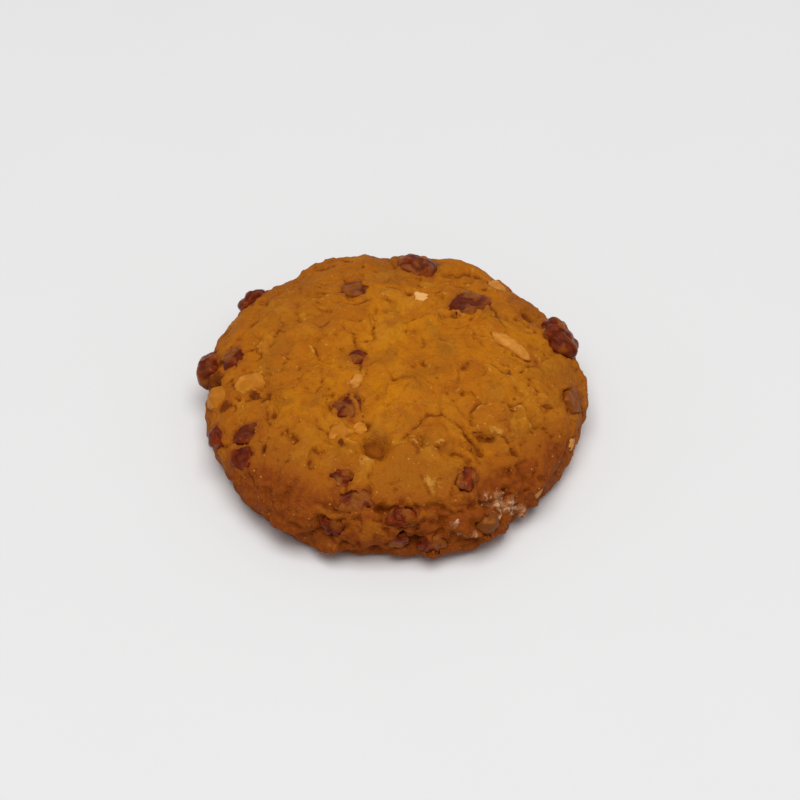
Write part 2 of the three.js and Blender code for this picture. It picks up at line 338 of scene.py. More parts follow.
@dataclass(frozen=True)
class OnTop:
    """A place on the dough above a point of the plan."""

    x: float
    y: float


@dataclass(frozen=True)
class OnSide:
    """A place on the dough at a bearing and a height."""

    bearing: float
    height: float


Spot = OnTop | OnSide
Route = tuple[Spot, ...]


def over(*places: tuple[float, float]) -> Route:
    """A route over the top, through points of the plan."""
    return tuple(OnTop(*place) for place in places)


def along(*places: tuple[float, float]) -> Route:
    """A route along the side, through pairs of a bearing and a height."""
    return tuple(OnSide(*place) for place in places)


@dataclass(frozen=True)
class Crack:
    """A crack along a route. The crust on the left of the route stands up by lift."""

    route: Route
    width: float
    depth: float
    lift: float = 0.0


@dataclass(frozen=True)
class Patch:
    """A round patch of colour: its middle and its radius."""

    middle: Spot
    radius: float


@dataclass(frozen=True)
class Streak:
    """A streak of colour along a route: its width, and how strong it is from 0 to 1."""

    route: Route
    width: float
    strength: float = 1.0


@dataclass(frozen=True)
class Bit:
    """A piece of raisin or nut too small for a solid of its own.

    Where it lies, its sizes, the way it points, how deep its middle lies, how pale its cut faces are, and the
    share of it smeared with dough.
    """

    spot: Spot
    length: float
    width: float
    height: float
    heading: float
    sink: float
    pale: float = 0.0
    smear: float = 0.3


@dataclass(frozen=True)
class Shards:
    """Crust broken into plates with chips on them, all at levels and tilts of their own.

    The steps say how far plates and chips lie out of level, and flake_step how much further chips do in flaky
    patches. Gaps open along parts of the plates' borders. squash scales the places along each axis, and more
    than 1 makes the shards flatter there.
    """

    drifts: tuple[Drift, ...]
    plate: float
    chip: float
    seed: int
    plate_step: float
    chip_step: float
    flake_step: float
    gap_depth: float
    gap_width: float
    opened: Patchy
    plate_tint: float
    squash: tuple[float, float, float] = (1.0, 1.0, 1.0)

    def spread(self, points: Array) -> Array:
        """Where each point lies in the pattern: moved about and squashed."""
        return drifted(points, self.drifts) * np.array(self.squash)

    def lay(self, points: Array) -> tuple[Array, Array]:
        """Steps the plates, steps the chips on them, and opens gaps as a bell of the distance to a border.

        Args:
            points: Places on the plain form.

        Returns:
            Height of the shards at each place, and their tint from 0 to 1.
        """
        spread = self.spread(points)
        plates = fragments(spread, self.plate, self.seed)
        chips = fragments(spread, self.chip, self.seed + CHIP_SEED)
        chip_step = self.chip_step + self.flake_step * FLAKY.share(points)
        gaps = self.gap_depth * self.opened.share(points) * bell(plates.border / self.gap_width)
        height = self.plate_step * plates.level + chip_step * chips.level - gaps
        return height, self.plate_tint * plates.tint + (1.0 - self.plate_tint) * chips.tint


# The plan, and the broad relief that the solid has too
LOBES = (
    Lobe(2, 0.5, -83),
    Lobe(3, 0.5, 13),
    Lobe(5, 0.25, 12),
    Lobe(6, 0.35, 0),
    Lobe(8, 0.3, 21),
)
LUMPS = Ripple(12, 0.9, 3)
KNOBS = Ripple(5, 0.5, 8)
CRAGS = Ripple(4.5, 1.7, 5)
SWELLS = (
    Swell(-19, -27, 9, 1.0),
    Swell(7, -25, 8, 0.7),
    Swell(-9, -15.5, 6, -1.3),
    Swell(17.5, -22.5, 4.2, -1.5),
    Swell(-26.5, -11, 4, -0.9),
    Swell(-3.3, -23.1, 2.7, -2.2, 3),
    Swell(22, 14, 10, 0.6),
    Swell(-17, 12, 11, 0.5),
    Swell(28.5, 16, 2.2, -1.2),
    Swell(-8, 34, 5, 1.6),
    Swell(15, 33, 5, 0.8),
)
CRACKS = (
    Crack(over((16.4, -23.7), (13.8, -18.2), (9.4, -14.9), (5.4, -17.6), (-0.7, -25.2)), 0.9, 0.7, 0.5),
    Crack(over((14.5, -18.3), (18, -19.4), (22, -19.9), (24.5, -21.8)), 1.0, 0.9, 0.8),
    Crack(over((-8.2, -24.4), (-12.2, -21.8), (-12.2, -14.3), (-13.5, -7.4)), 0.9, 0.6, 0.4),
    Crack(over((-7.1, -8.6), (-5.8, -15.8), (-5.2, -20.6)), 0.9, 0.6, 0.4),
    Crack(over((9.5, 27.2), (15.3, 28.8), (20.5, 27.5)), 1.0, 0.7, 0.2),
    Crack(along((-56, 9.5), (-68, 12), (-90, 12.6), (-106, 12), (-117, 11.5)), 0.9, 0.8, 0.4),
)
CRACK_DRIFTS = (Drift(4.0, 0.9, 51), Drift(1.6, 0.2, 54))

# Fine relief: hair cracks, holes, crumb, pits, and creases in torn patches
HAIR_CRACKS = (
    Crack(over((-8.4, 10.9), (-7.7, 5.4), (-7, 0.6), (-6.2, -4), (-8.1, -8.5)), 0.7, 0.5),
    Crack(over((-13.1, 17.6), (-8.9, 17), (-3.7, 16.6)), 0.7, 0.4),
    Crack(over((21.2, 0.2), (23.4, -1.8), (23.9, -4.8)), 0.7, 0.4),
    Crack(over((29.9, -15.4), (32.1, -17)), 0.7, 0.4),
    Crack(over((23.9, -21.3), (24.6, -23.2)), 0.7, 0.5),
    Crack(over((-32.6, -0.3), (-32.3, -6.1), (-31.3, -8.6)), 0.7, 0.6),
    Crack(over((-30.5, -8.1), (-26, -9.5), (-24.4, -9.3)), 0.7, 0.5),
    Crack(over((19.4, 8.1), (23, 3.1)), 0.7, 0.5),
    Crack(over((12.4, -16.4), (14.6, -19.6), (17.2, -23.4)), 1.1, 0.9),
    Crack(along((-121, 8.6), (-116, 8.2), (-112, 9), (-106, 9.8)), 0.8, 0.8),
    Crack(along((-115, 6.6), (-109, 7.2), (-104.9, 7.7), (-102, 5.6)), 0.8, 0.8),
    Crack(along((-97, 10.4), (-90, 9.7), (-86, 9.9), (-81.7, 10.5), (-75, 9.8)), 0.8, 0.8),
    Crack(along((-85, 8.2), (-80.5, 6), (-76, 5.2), (-69, 5.6)), 0.8, 0.8),
    Crack(along((-68, 11.2), (-65.4, 11.7), (-62, 11), (-59.5, 9), (-58.5, 6)), 0.8, 0.9),
)
HAIR_DRIFTS = (Drift(2.8, 0.9, 61), Drift(1.4, 0.2, 64))
HOLES = (
    Swell(17.2, -23.3, 1.0, -1.4),
    Swell(28.4, 15.6, 1.5, -1.4),
    Swell(24.3, -21.8, 0.9, -0.9),
    Swell(-23.8, -14.6, 1.1, -0.9),
    Swell(-26, -8.8, 0.9, -0.8),
    Swell(-14.4, -24.3, 1.0, -0.7),
    Swell(3.1, 19.3, 0.9, -0.8),
    Swell(-5.4, -17.2, 1.0, -1.0),
    Swell(-36.2, -1.2, 1.9, -1.6),
    Swell(-36.2, 4.2, 1.6, -1.3),
)
FINE = (Ripple(2.6, 0.3, 21), Ripple(1.4, 0.22, 22))
ROUGH = Patchy(8.0, -0.2, 0.5, 24)
TORN = Patchy(3.4, 0.1, 0.45, 25)
PITS = Strewn(2.9, 0.06, (0.55, 0.9), (-0.5, -0.15), 2.0, 31)
CRUMBS = Strewn(2.2, 0.4, (0.55, 0.9), (0.08, 0.3), 3.0, 41)

# The plates of the crust, and the blocks and caves of the broken front
FLAKY = Patchy(9.0, -0.25, 0.35, 76)
PLATES = Shards(
    drifts=(Drift(5.0, 1.6, 71), Drift(1.4, 0.45, 77)),
    plate=5.2,
    chip=2.3,
    seed=74,
    plate_step=0.7,
    chip_step=0.15,
    flake_step=0.3,
    gap_depth=0.35,
    gap_width=0.6,
    opened=Patchy(4.0, 0.05, 0.4, 75),
    plate_tint=0.6,
)
BLOCKS = Shards(
    drifts=(Drift(4.0, 1.4, 81), Drift(1.4, 0.25, 89)),
    plate=5.2,
    chip=2.4,
    seed=84,
    plate_step=1.3,
    chip_step=0.3,
    flake_step=0.0,
    gap_depth=0.7,
    gap_width=0.7,
    opened=Patchy(4.0, -0.3, 0.2, 85),
    plate_tint=0.7,
    squash=(0.9, 0.9, 1.6),
)
CAVES = Strewn(4.6, 0.5, (0.7, 1.7), (-1.6, -0.5), 4.0, 45)

# Bits of raisin and nut that are one with the dough
RAISIN_BITS = (
    Bit(OnTop(-9.7, -30.4), 4, 3.4, 3.4, 40, 0.8, smear=0.75),
    Bit(OnTop(-7, 0.6), 4.2, 3.6, 3.4, 60, 0.8),
    Bit(OnSide(-107, 9.6), 4.8, 3.6, 3.6, -10, 0.8),
    Bit(OnSide(-88, 6.6), 4.4, 3.4, 3.4, 30, 0.8),
)
NUT_BITS = (
    Bit(OnTop(5.8, 18.1), 3.4, 2.6, 2.8, -15, 0.7, 0.8),
    Bit(OnTop(-6.3, -18.3), 3, 2.4, 2.6, 80, 0.5),
    Bit(OnTop(-7.1, -6.2), 3.2, 2.6, 2.8, 40, 0.8, 0.2),
    Bit(OnSide(-43, 6.6), 3, 2.6, 2.8, 10, 0.4, 0.2),
    Bit(OnSide(-22, 7), 3.2, 2.6, 2.8, 50, 0.4, 0.3),
)

# Parallels and meridians of a bit
BIT_ROWS = 26
BIT_COLUMNS = 52

# Patches where the crumb lies open and yellow
FRESH_SPOTS = (
    Patch(OnTop(-17, -14), 6),
    Patch(OnTop(-11, -5), 6),
    Patch(OnTop(-2, -11), 7),
    Patch(OnTop(-10, -21), 5),
    Patch(OnTop(19, -21.5), 4),
    Patch(OnTop(2, 8), 12),
    Patch(OnTop(24, 4), 8),
)

# Patches where the crust is dull
DULL_SPOTS = (
    Patch(OnTop(-24, 22), 11),
    Patch(OnTop(31, 18), 7),
    Patch(OnTop(30, -20), 8),
    Patch(OnTop(33, 0), 8),
    Patch(OnTop(-23, -27), 9),
    Patch(OnTop(4, -31), 8),
    Patch(OnTop(2, 34), 9),
)

# Shoulders that the oven browned, the pit painted with shade, small gaps painted with shadow, and pale crumb
# painted lighter on its raised tops as highlight
SHOULDER_SPOTS = (Patch(OnTop(-20, -28), 11), Patch(OnTop(0, 33), 12))
DARK_SPOTS = (Patch(OnTop(-3.3, -22.6), 2.6),)
GAP_SHADOW_SPOTS = (
    Patch(OnTop(-36.6, -0.6), 3.2),
    Patch(OnTop(-33.9, -9.0), 1.5),
    Patch(OnTop(-27.6, -8.2), 1.3),
    Patch(OnTop(-10.0, -22.1), 1.1),
    Patch(OnTop(-24.4, -22.0), 1.0),
)
PALE_SPOTS = (
    Patch(OnTop(-4.9, -26.6), 2.2),
    Patch(OnTop(-7.8, -24.8), 1.2),
    Patch(OnTop(21, -18.6), 2.4),
    Patch(OnTop(8, -32), 3),
)

# Streaks where flour has stayed
FLOUR_STREAKS = (
    Streak(along((-62, 12.2), (-59.6, 11.2), (-57.6, 10.6), (-55.5, 9)), 1.9, 0.75),
    Streak(along((-57, 9.4), (-54.6, 7.8), (-52.4, 5.8)), 3.2),
    Streak(along((-73.1, 10.3), (-73.1, 9), (-72.3, 8)), 1.1, 0.75),
    Streak(along((-72.3, 8), (-68.9, 7.5), (-64.6, 6.5)), 1.3, 0.75),
)
FLOUR_DRIFTS = (Drift(2.6, 1.2, 141),)

# A piece with this stand keeps the height of its solid
FREE = 20.0


@dataclass(frozen=True)
class Look:
    """How a piece shows.

    The share smeared with dough, its bloom, how far it may stand out, the dough banked up round it, and how
    pale its cut faces are.
    """

    smear: float = 0.3
    bloom: float = 0.4
    stand: float = 0.5
    bank: float = 0.4
    pale: float = 0.0


PLAIN_RAISIN = Look()
PLAIN_NUT = Look(0.4, 0.0, FREE, 0.1)
LOOKS = {
    "raisin_01": Look(0.1, 1.0, FREE),
    "raisin_02": Look(0.2, 0.8, 0.4, 0.3),
    "raisin_03": Look(0.5, 0.6, 0.5, 0.3),
    "raisin_04": Look(0.1, 0.6, FREE),
    "raisin_05": Look(-0.3, 0.1, FREE),
    "raisin_06": Look(0.3, 0.7, FREE),
    "raisin_07": Look(0.2, 0.2, 1.2, 0.1),
    "raisin_08": Look(-0.3, 0.1, FREE),
    "raisin_09": Look(0.3, 0.7, 0.3, 0.2),
    "raisin_10": Look(-0.3, 0.0, 0.3, 0.2),
    "raisin_11": Look(0.3, 0.7, 0.5),
    "raisin_12": Look(0.45, 0.45, 0.4, 0.7),
    "raisin_13": Look(0.95, 0.4, 0.25, 0.7),
    "raisin_14": Look(0.55, 0.3, 0.12, 0.95),
    "raisin_15": Look(0.3, 0.2, 0.4),
    "raisin_16": Look(0.75, 0.2, 0.3),
    "nut_01": Look(0.1, 0.0, FREE, -0.2, 0.15),
    "nut_02": Look(0.1, 0.0, FREE, -0.1, 0.2),
    "nut_03": Look(0.4, 0.0, FREE, 0.0),
    "nut_04": Look(0.8, 0.0, FREE, 0.2),
    "nut_05": Look(0.9, 0.2, FREE, 0.1),
    # The front lump's dark skin partly stands for the painted shade it lies in
    "nut_06": Look(0.0, 1.25, FREE, 0.9),
}


# Measures


def path_distance(points: Array, normals: Array, path: Array) -> tuple[Array, Array, Array]:
    """Measures every point against a path of straight pieces.

    Args:
        points: Places in millimetres.
        normals: Outward directions at those places.
        path: Corners of the path.

    Returns:
        Distance to the path, 1 on its left and -1 on its right, and how far along the path the nearest
        place lies, from 0 to 1.
    """
    distance = np.full(points.shape[:-1], np.inf)
    side = np.zeros(points.shape[:-1])
    share_along = np.zeros(points.shape[:-1])
    pieces = len(path) - 1
    for n, (start, end) in enumerate(zip(path[:-1], path[1:])):
        run = end - start
        share = np.clip((points - start) @ run / (run @ run), 0.0, 1.0)
        offset = points - (start + share[..., None] * run)
        apart = np.linalg.norm(offset, axis=-1)
        left = np.sign(np.einsum("...i,...i->...", np.cross(run, offset), normals))
        closer = apart < distance
        distance = np.where(closer, apart, distance)
        side = np.where(closer, left, side)
        share_along = np.where(closer, (n + share) / pieces, share_along)
    return distance, side, share_along


def blurred(values: Array, reach: int) -> Array:
    """Mean over a square of grid cells, made by running means down the rows and then round the rings.

    Args:
        values: One value for each ring and bearing.
        reach: How many cells the square reaches to each side.

    Returns:
        The means, on the same grid.
    """
    span = 2 * reach + 1
    for axis, mode in ((0, "edge"), (1, "wrap")):
        padded = np.pad(values, [(reach + 1, reach) if n == axis else (0, 0) for n in (0, 1)], mode=mode)
        total = np.cumsum(padded, axis=axis)
        ahead = np.take(total, np.arange(span, total.shape[axis]), axis=axis)
        behind = np.take(total, np.arange(0, total.shape[axis] - span), axis=axis)
        values = (ahead - behind) / span
    return values


# Meshes


@dataclass
class Surface:
    """A surface in millimetres: corners, quads, triangles, and tones at the corners."""

    points: Array
    quads: Array
    triangles: Array
    tones: dict[Tone, Array] = field(default_factory=dict)

    def piece(self, name: str) -> bpy.types.Object:
        """Puts the surface into a new smooth shaded object at the origin.

        Args:
            name: Name of the object and its mesh.

        Returns:
            The object, linked to the scene.
        """
        mesh = bpy.data.meshes.new(name)
        mesh.vertices.add(len(self.points))
        mesh.vertices.foreach_set("co", (self.points * MM).astype(np.float32).ravel())
        corners = np.concatenate([self.quads.ravel(), self.triangles.ravel()]).astype(np.int32)
        squares = 4 * np.arange(len(self.quads))
        starts = np.concatenate([squares, 4 * len(self.quads) + 3 * np.arange(len(self.triangles))])
        mesh.loops.add(len(corners))
        mesh.loops.foreach_set("vertex_index", corners)
        mesh.polygons.add(len(starts))
        mesh.polygons.foreach_set("loop_start", starts.astype(np.int32))
        mesh.update(calc_edges=True)
        mesh.shade_smooth()
        for tone, values in self.tones.items():
            layer = mesh.attributes.new(tone.value, "FLOAT", "POINT")
            layer.data.foreach_set("value", np.clip(values, 0.0, 1.0).astype(np.float32).ravel())
        piece = bpy.data.objects.new(name, mesh)
        bpy.context.scene.collection.objects.link(piece)
        return piece


def joined(surfaces: list[Surface]) -> Surface:
    """Makes one surface of several, with their corners counted on.

    Args:
        surfaces: Surfaces that all have the same tones.

    Returns:
        The one surface.
    """
    firsts = np.cumsum([0] + [len(surface.points) for surface in surfaces[:-1]])
    return Surface(
        np.concatenate([surface.points for surface in surfaces]),
        np.concatenate([surface.quads + first for surface, first in zip(surfaces, firsts)]),
        np.concatenate([surface.triangles + first for surface, first in zip(surfaces, firsts)]),
        {tone: np.concatenate([s.tones[tone] for s in surfaces]) for tone in surfaces[0].tones},
    )


def band_faces(number: Array) -> Array:
    """Quads between each ring of numbered corners and the next, all closed round."""
    following = np.roll(number, -1, axis=1)
    return np.stack([number[:-1], number[1:], following[1:], following[:-1]], axis=-1).reshape(-1, 4)


def fan_faces(tip: int, ring: Array) -> Array:
    """Triangles from one corner to every side of a closed ring."""
    return np.stack([np.full(len(ring), tip), ring, np.roll(ring, -1)], axis=-1)


def ball(rows: int, columns: int) -> Surface:
    """Makes a unit ball of parallels and meridians, with a single point at each pole.

    Args:
        rows: How many parallels.
        columns: How many meridians.

    Returns:
        The ball, whose points are also directions.
    """
    slope = np.pi * np.arange(1, rows + 1) / (rows + 1)
    turn = 2.0 * np.pi * np.arange(columns) / columns
    ring = np.sin(slope)[:, None]
    level = np.broadcast_to(np.cos(slope)[:, None], (rows, columns))
    parallels = np.stack([ring * np.cos(turn), ring * np.sin(turn), level], axis=-1)
    poles = np.array([[0.0, 0.0, 1.0], [0.0, 0.0, -1.0]])
    directions = np.concatenate([parallels.reshape(-1, 3), poles])
    number = np.arange(rows * columns).reshape(rows, columns)
    upper = fan_faces(number.size, number[0])
    lower = fan_faces(number.size + 1, number[-1])[:, ::-1]
    return Surface(directions, band_faces(number), np.concatenate([upper, lower]))


def adopt(piece: bpy.types.Object, finish: bpy.types.Material, node: str) -> None:
    """Dresses a piece, lets it ride on the cookie's body and stand for its CAD node, and reports it.

    Args:
        piece: The new object.
        finish: Its material.
        node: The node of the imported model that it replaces.
    """
    piece.data.materials.append(finish)
    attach(piece, BODY)
    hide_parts(node)
    LOG.info("%s: %d faces, %s", piece.name, len(piece.data.polygons), finish.name)


# The dough's form


@dataclass
class DoughForm:
    """The plain form of the dough and its relief, as in its solid, in millimetres.

    The plan is a circle with lobes, and the side bends in from its widest line, at edge_height, to the crown
    and to the foot. Pairs are the two ends of a ramp.
    """

    mean_radius: float = 39.4
    crown_height: float = 17.5
    edge_height: float = 6.0
    shoulder: float = 2.8
    heel: float = 2.2
    foot_share: float = 0.9
    calm_foot: float = 2.5
    crag_from: float = 13.5
    crag_level: float = 0.4
    crag_calm: float = 0.35
    lift_ramp: tuple[float, float] = (-1.2, 1.4)
    lift_fade: float = 5.0
    crack_end: float = 0.15
    crack_reach: float = 2.0
    most_gap: float = 0.3
    spot_gap: float = 0.4
    front_bearing: float = -78.0
    front_cosine: tuple[float, float] = (0.72, 0.85)
    front_top: tuple[float, float] = (14.0, 12.0)
    front_foot: tuple[float, float] = (0.8, 3.5)
    front_wave: float = 1.5
    wall_ramp: tuple[float, float] = (7.0, 13.0)
    wall_blocks: float = 0.1
    front_blocks: float = 0.9
    crumb_ramp: tuple[float, float] = (-4.0, 12.0)
    crumb_least: float = 0.5
    crumb_patches: float = 0.7
    crease_width: float = 3.0
    crease_spread: float = 0.12
    crease_depth: float = 0.18
    flour_height: float = 0.15

    @property
    def dome(self) -> float:
        """Height of the crown over the widest line."""
        return self.crown_height - self.edge_height

    def plan_radius(self, bearing: Array) -> Array:
        """The mean radius plus the cosine wave of every lobe."""
        waves = (lobe.size * np.cos(lobe.count * (bearing - math.radians(lobe.bearing))) for lobe in LOBES)
        return self.mean_radius + sum(waves)

    def side_share(self, height: Array) -> Array:
        """Works out one superellipse above the widest line and another below it.

        Args:
            height: Heights over the base.

        Returns:
            Share of the plan radius that the side reaches at each height.
        """
        above = np.clip((height - self.edge_height) / self.dome, 0.0, 1.0)
        below = np.clip((self.edge_height - height) / self.edge_height, 0.0, 1.0)
        upper = (1.0 - above**self.shoulder) ** (1.0 / self.shoulder)
        lower = self.foot_share + (1.0 - self.foot_share) * (1.0 - below**self.heel) ** (1.0 / self.heel)
        return np.where(height >= self.edge_height, upper, lower)

    def place(self, spot: Spot) -> Array:
        """Finds a named spot on the plain form.

        Args:
            spot: A place above the plan, or at a bearing and a height.

        Returns:
            The point.
        """
        if isinstance(spot, OnSide):
            bearing = math.radians(spot.bearing)
            radius = self.plan_radius(bearing) * self.side_share(np.array(spot.height))
            return np.array([radius * math.cos(bearing), radius * math.sin(bearing), spot.height])
        share = min(1.0, math.hypot(spot.x, spot.y) / self.plan_radius(math.atan2(spot.y, spot.x)))
        rise = (1.0 - share**self.shoulder) ** (1.0 / self.shoulder)
        return np.array([spot.x, spot.y, self.edge_height + self.dome * rise])

    def path(self, route: Route) -> Array:
        """The points of the plain form along a route."""
        return np.array([self.place(spot) for spot in route])

    def outward(self, point: Array) -> Array:
        """Finds the outward direction at a point, as the slope of how far out it lies.

        Above the widest line that is the sum of the superellipse's powers, and below it the share of the plan
        radius less that of the side.

        Args:
            point: One place.

        Returns:
            A unit vector.
        """
        step = 0.05
        probes = point + step * np.concatenate([np.eye(3), -np.eye(3)])
        bearing = np.arctan2(probes[:, 1], probes[:, 0])
        reach = np.hypot(probes[:, 0], probes[:, 1]) / self.plan_radius(bearing)
        rise = np.abs(probes[:, 2] - self.edge_height) / self.dome
        upper = reach**self.shoulder + rise**self.shoulder
        level = np.where(point[2] < self.edge_height, reach - self.side_share(probes[:, 2]), upper)
        slope = level[:3] - level[3:]
        return slope / np.linalg.norm(slope)

    def meridian(self, share: Array) -> tuple[Array, Array]:
        """Walks down the side from the crown (0) to the foot (1), in even steps of length.

        Args:
            share: How far down, as a share of the whole length.

        Returns:
            The share of the plan radius, and the height.
        """
        samples = 400
        turn = np.linspace(0.0, np.pi / 2, samples)
        upper = np.stack([np.sin(turn) ** (2 / self.shoulder),
                          self.edge_height + self.dome * np.cos(turn) ** (2 / self.shoulder)])
        lower = np.stack([self.foot_share + (1 - self.foot_share) * np.cos(turn) ** (2 / self.heel),
                          self.edge_height * (1 - np.sin(turn) ** (2 / self.heel))])
        radius, height = np.concatenate([upper, lower[:, 1:]], axis=1)
        steps = np.hypot(np.diff(radius) * self.mean_radius, np.diff(height))
        walked = np.concatenate([[0.0], np.cumsum(steps)])
        walked /= walked[-1]
        return np.interp(share, walked, radius), np.interp(share, walked, height)

    def crack(self, points: Array, normals: Array, crack: Crack) -> Array:
        """Cuts a groove as a bell of the distance, and lifts the crust on its left, both closing at the ends.

        Args:
            points: Places on the plain form.
            normals: Outward directions there.
            crack: The crack.

        Returns:
            Its relief at each place.
        """
        distance, side, share = path_distance(points, normals, self.path(crack.route))
        groove = -crack.depth * bell(distance / crack.width)
        raised = crack.lift * smooth(*self.lift_ramp, side * distance) * np.exp(-distance / self.lift_fade)
        closing = smooth(0.0, self.crack_end, share) * smooth(0.0, self.crack_end, 1.0 - share)
        return closing * (groove + raised)

    def spotted(self, points: Array, patches: tuple[Patch, ...]) -> Array:
        """Finds how near each point lies to a patch: a bell of the distance in radii.

        Args:
            points: Places on the plain form.
            patches: The patches.

        Returns:
            A value from 0 to 1 at each place.
        """
        gaps = [np.linalg.norm(points - self.place(patch.middle), axis=-1) / patch.radius
                for patch in patches]
        return bell(np.min(gaps, axis=0))

    def streaked(self, points: Array, normals: Array, streaks: tuple[Streak, ...]) -> Array:
        """Finds how near each point lies to a streak: its strength times a bell of the distance in widths.

        Args:
            points: Places on the plain form.
            normals: Outward directions there.
            streaks: The streaks.

        Returns:
            A value from 0 to 1 at each place.
        """
        nearest = np.zeros(points.shape[:-1])
        for streak in streaks:
            gap = path_distance(points, normals, self.path(streak.route))[0] / streak.width
            nearest = np.maximum(nearest, streak.strength * bell(gap))
        return nearest

    def crack_gap(self, points: Array, normals: Array) -> Array:
        """Measures the distance to the nearest crack or gap, where the crust is painted with shade.

        It counts in shares of crack_reach, is most_gap at most, and grows towards a crack's ends.

        Args:
            points: Places on the plain form.
            normals: Outward directions there.

        Returns:
            The distance at each place, below 0 inside the gaps painted with shadow.
        """
        ragged = drifted(points, HAIR_DRIFTS)
        gap = self.most_gap - self.spot_gap * self.spotted(ragged, GAP_SHADOW_SPOTS)
        for crack in (*CRACKS, *HAIR_CRACKS):
            distance, _, share = path_distance(ragged, normals, self.path(crack.route))
            closing = smooth(self.crack_end, 0.0, share) + smooth(self.crack_end, 0.0, 1.0 - share)
            gap = np.minimum(gap, distance / self.crack_reach + closing)
        return gap

    def relief(self, points: Array, normals: Array) -> Array:
        """Adds up lumps, knobs, crags, swellings and large cracks, all fading out towards the base.

        Crags stand where a noise is near 0, and most of all on the front.

        Args:
            points: Places on the plain form.
            normals: Outward directions there.

        Returns:
            The height over the plain form.
        """
        height = points[..., 2]
        on_wall = 1.0 - smooth(self.edge_height, self.crag_from, height)
        uneven = LUMPS.relief(points) + KNOBS.relief(points)
        ridges = self.crag_level - np.abs(noise(points, CRAGS.width, CRAGS.seed))
        share = self.crag_calm + (1.0 - self.crag_calm) * self.front(points)
        craggy = on_wall * CRAGS.height * ridges * share
        ragged = drifted(points, CRACK_DRIFTS)
        cracked = sum(self.crack(ragged, normals, crack) for crack in CRACKS)
        raised = np.where(height > self.edge_height, sum(swell.relief(ragged) for swell in SWELLS), 0.0)
        return smooth(0.0, self.calm_foot, height) * (uneven + craggy + cracked + raised)

    def front(self, points: Array) -> Array:
        """Works out how much each point belongs to the broken front wall, within a wavy border.

        Args:
            points: Places on the plain form.

        Returns:
            A share from 0 to 1.
        """
        away = np.arctan2(points[..., 1], points[..., 0]) - math.radians(self.front_bearing)
        height = points[..., 2] + self.front_wave * askew(points, 5.0, 86)
        facing = smooth(*self.front_cosine, np.cos(away))
        return facing * smooth(*self.front_top, height) * smooth(*self.front_foot, height)

    def broken(self, points: Array) -> tuple[Array, Array]:
        """Lays the blocks and caves of the broken side, most of all on the front.

        Args:
            points: Places on the plain form.

        Returns:
            Height of the blocks at each place, and their tint.
        """
        blocks, tint = BLOCKS.lay(points)
        wall = 1.0 - smooth(*self.wall_ramp, points[..., 2])
        share = self.wall_blocks * wall + self.front_blocks * self.front(points)
        return share * (blocks + CAVES.relief(BLOCKS.spread(points))), tint

    def crumb(self, points: Array, normals: Array) -> Array:
        """Adds up the fine relief.

        Crumb is noise of two widths, rougher in patches. Pits and crumbs are strewn, and hair cracks and
        holes have places of their own. Creases are furrows in torn patches, and flour lies a little proud.

        Args:
            points: Places on the plain form.
            normals: Outward directions there.

        Returns:
            Height of the fine relief at each place.
        """
        rough = self.crumb_least + self.crumb_patches * ROUGH.share(points)
        rough = rough * smooth(*self.crumb_ramp, points[..., 2])
        fine = rough * sum(ripple.relief(points @ TURN) for ripple in FINE)
        ragged = drifted(points, HAIR_DRIFTS)
        strewn = PITS.relief(ragged) + rough * CRUMBS.relief(ragged)
        cracked = sum(self.crack(ragged, normals, crack) for crack in HAIR_CRACKS)
        cracked = cracked + sum(hole.relief(ragged) for hole in HOLES)
        creases = furrows(ragged, self.crease_width, 26, self.crease_spread)
        creased = -self.crease_depth * TORN.share(points) * creases
        floury = self.flour_height * self.streaked(ragged, normals, FLOUR_STREAKS)
        return fine + strewn + cracked + creased + floury


# Raisins and nut pieces

# Bloom up to PATCHY_BLOOM comes in patches, and what a look has beyond it covers the whole piece
BLOOM = Patchy(3.0, -0.5, 0.3, 99)
PATCHY_BLOOM = 0.6
SMEAR = Patchy(3.2, 0.3, 0.7, 96)
WRINKLE_DRIFT = Drift(2.5, 0.7, 91)


class CornerShape:
    """The rounded form of a solid: its corners, with the distance blended between them."""

    corner_share = 0.22
    lumpiness = 0.12

    def __init__(self, node: str) -> None:
        """Reads the solid's corners and keeps the direction and distance of each from their middle.

        Args:
            node: The solid's node.
        """
        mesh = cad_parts[node].data
        corners = np.empty(3 * len(mesh.vertices), dtype=np.float32)
        mesh.vertices.foreach_get("co", corners)
        corners = np.unique((corners.reshape(-1, 3) / MM).round(3), axis=0)
        self.centre = corners.mean(axis=0)
        self.distances = np.linalg.norm(corners - self.centre, axis=1)
        self.directions = (corners - self.centre) / self.distances[:, None]

    def reach(self, directions: Array) -> Array:
        """Blends the corners' distances, and makes the blend lumpy by noise.

        Each corner is weighed by e to the power of how near its direction is, times a share of their number.

        Args:
            directions: Unit vectors.

        Returns:
            A distance for each direction.
        """
        sharpness = self.corner_share * len(self.distances)
        weights = np.exp(sharpness * (directions @ self.directions.T - 1.0))
        lumpy = 1.0 + self.lumpiness * askew(directions + self.centre, 0.7, 98)
        return lumpy * (weights @ self.distances) / weights.sum(axis=-1)


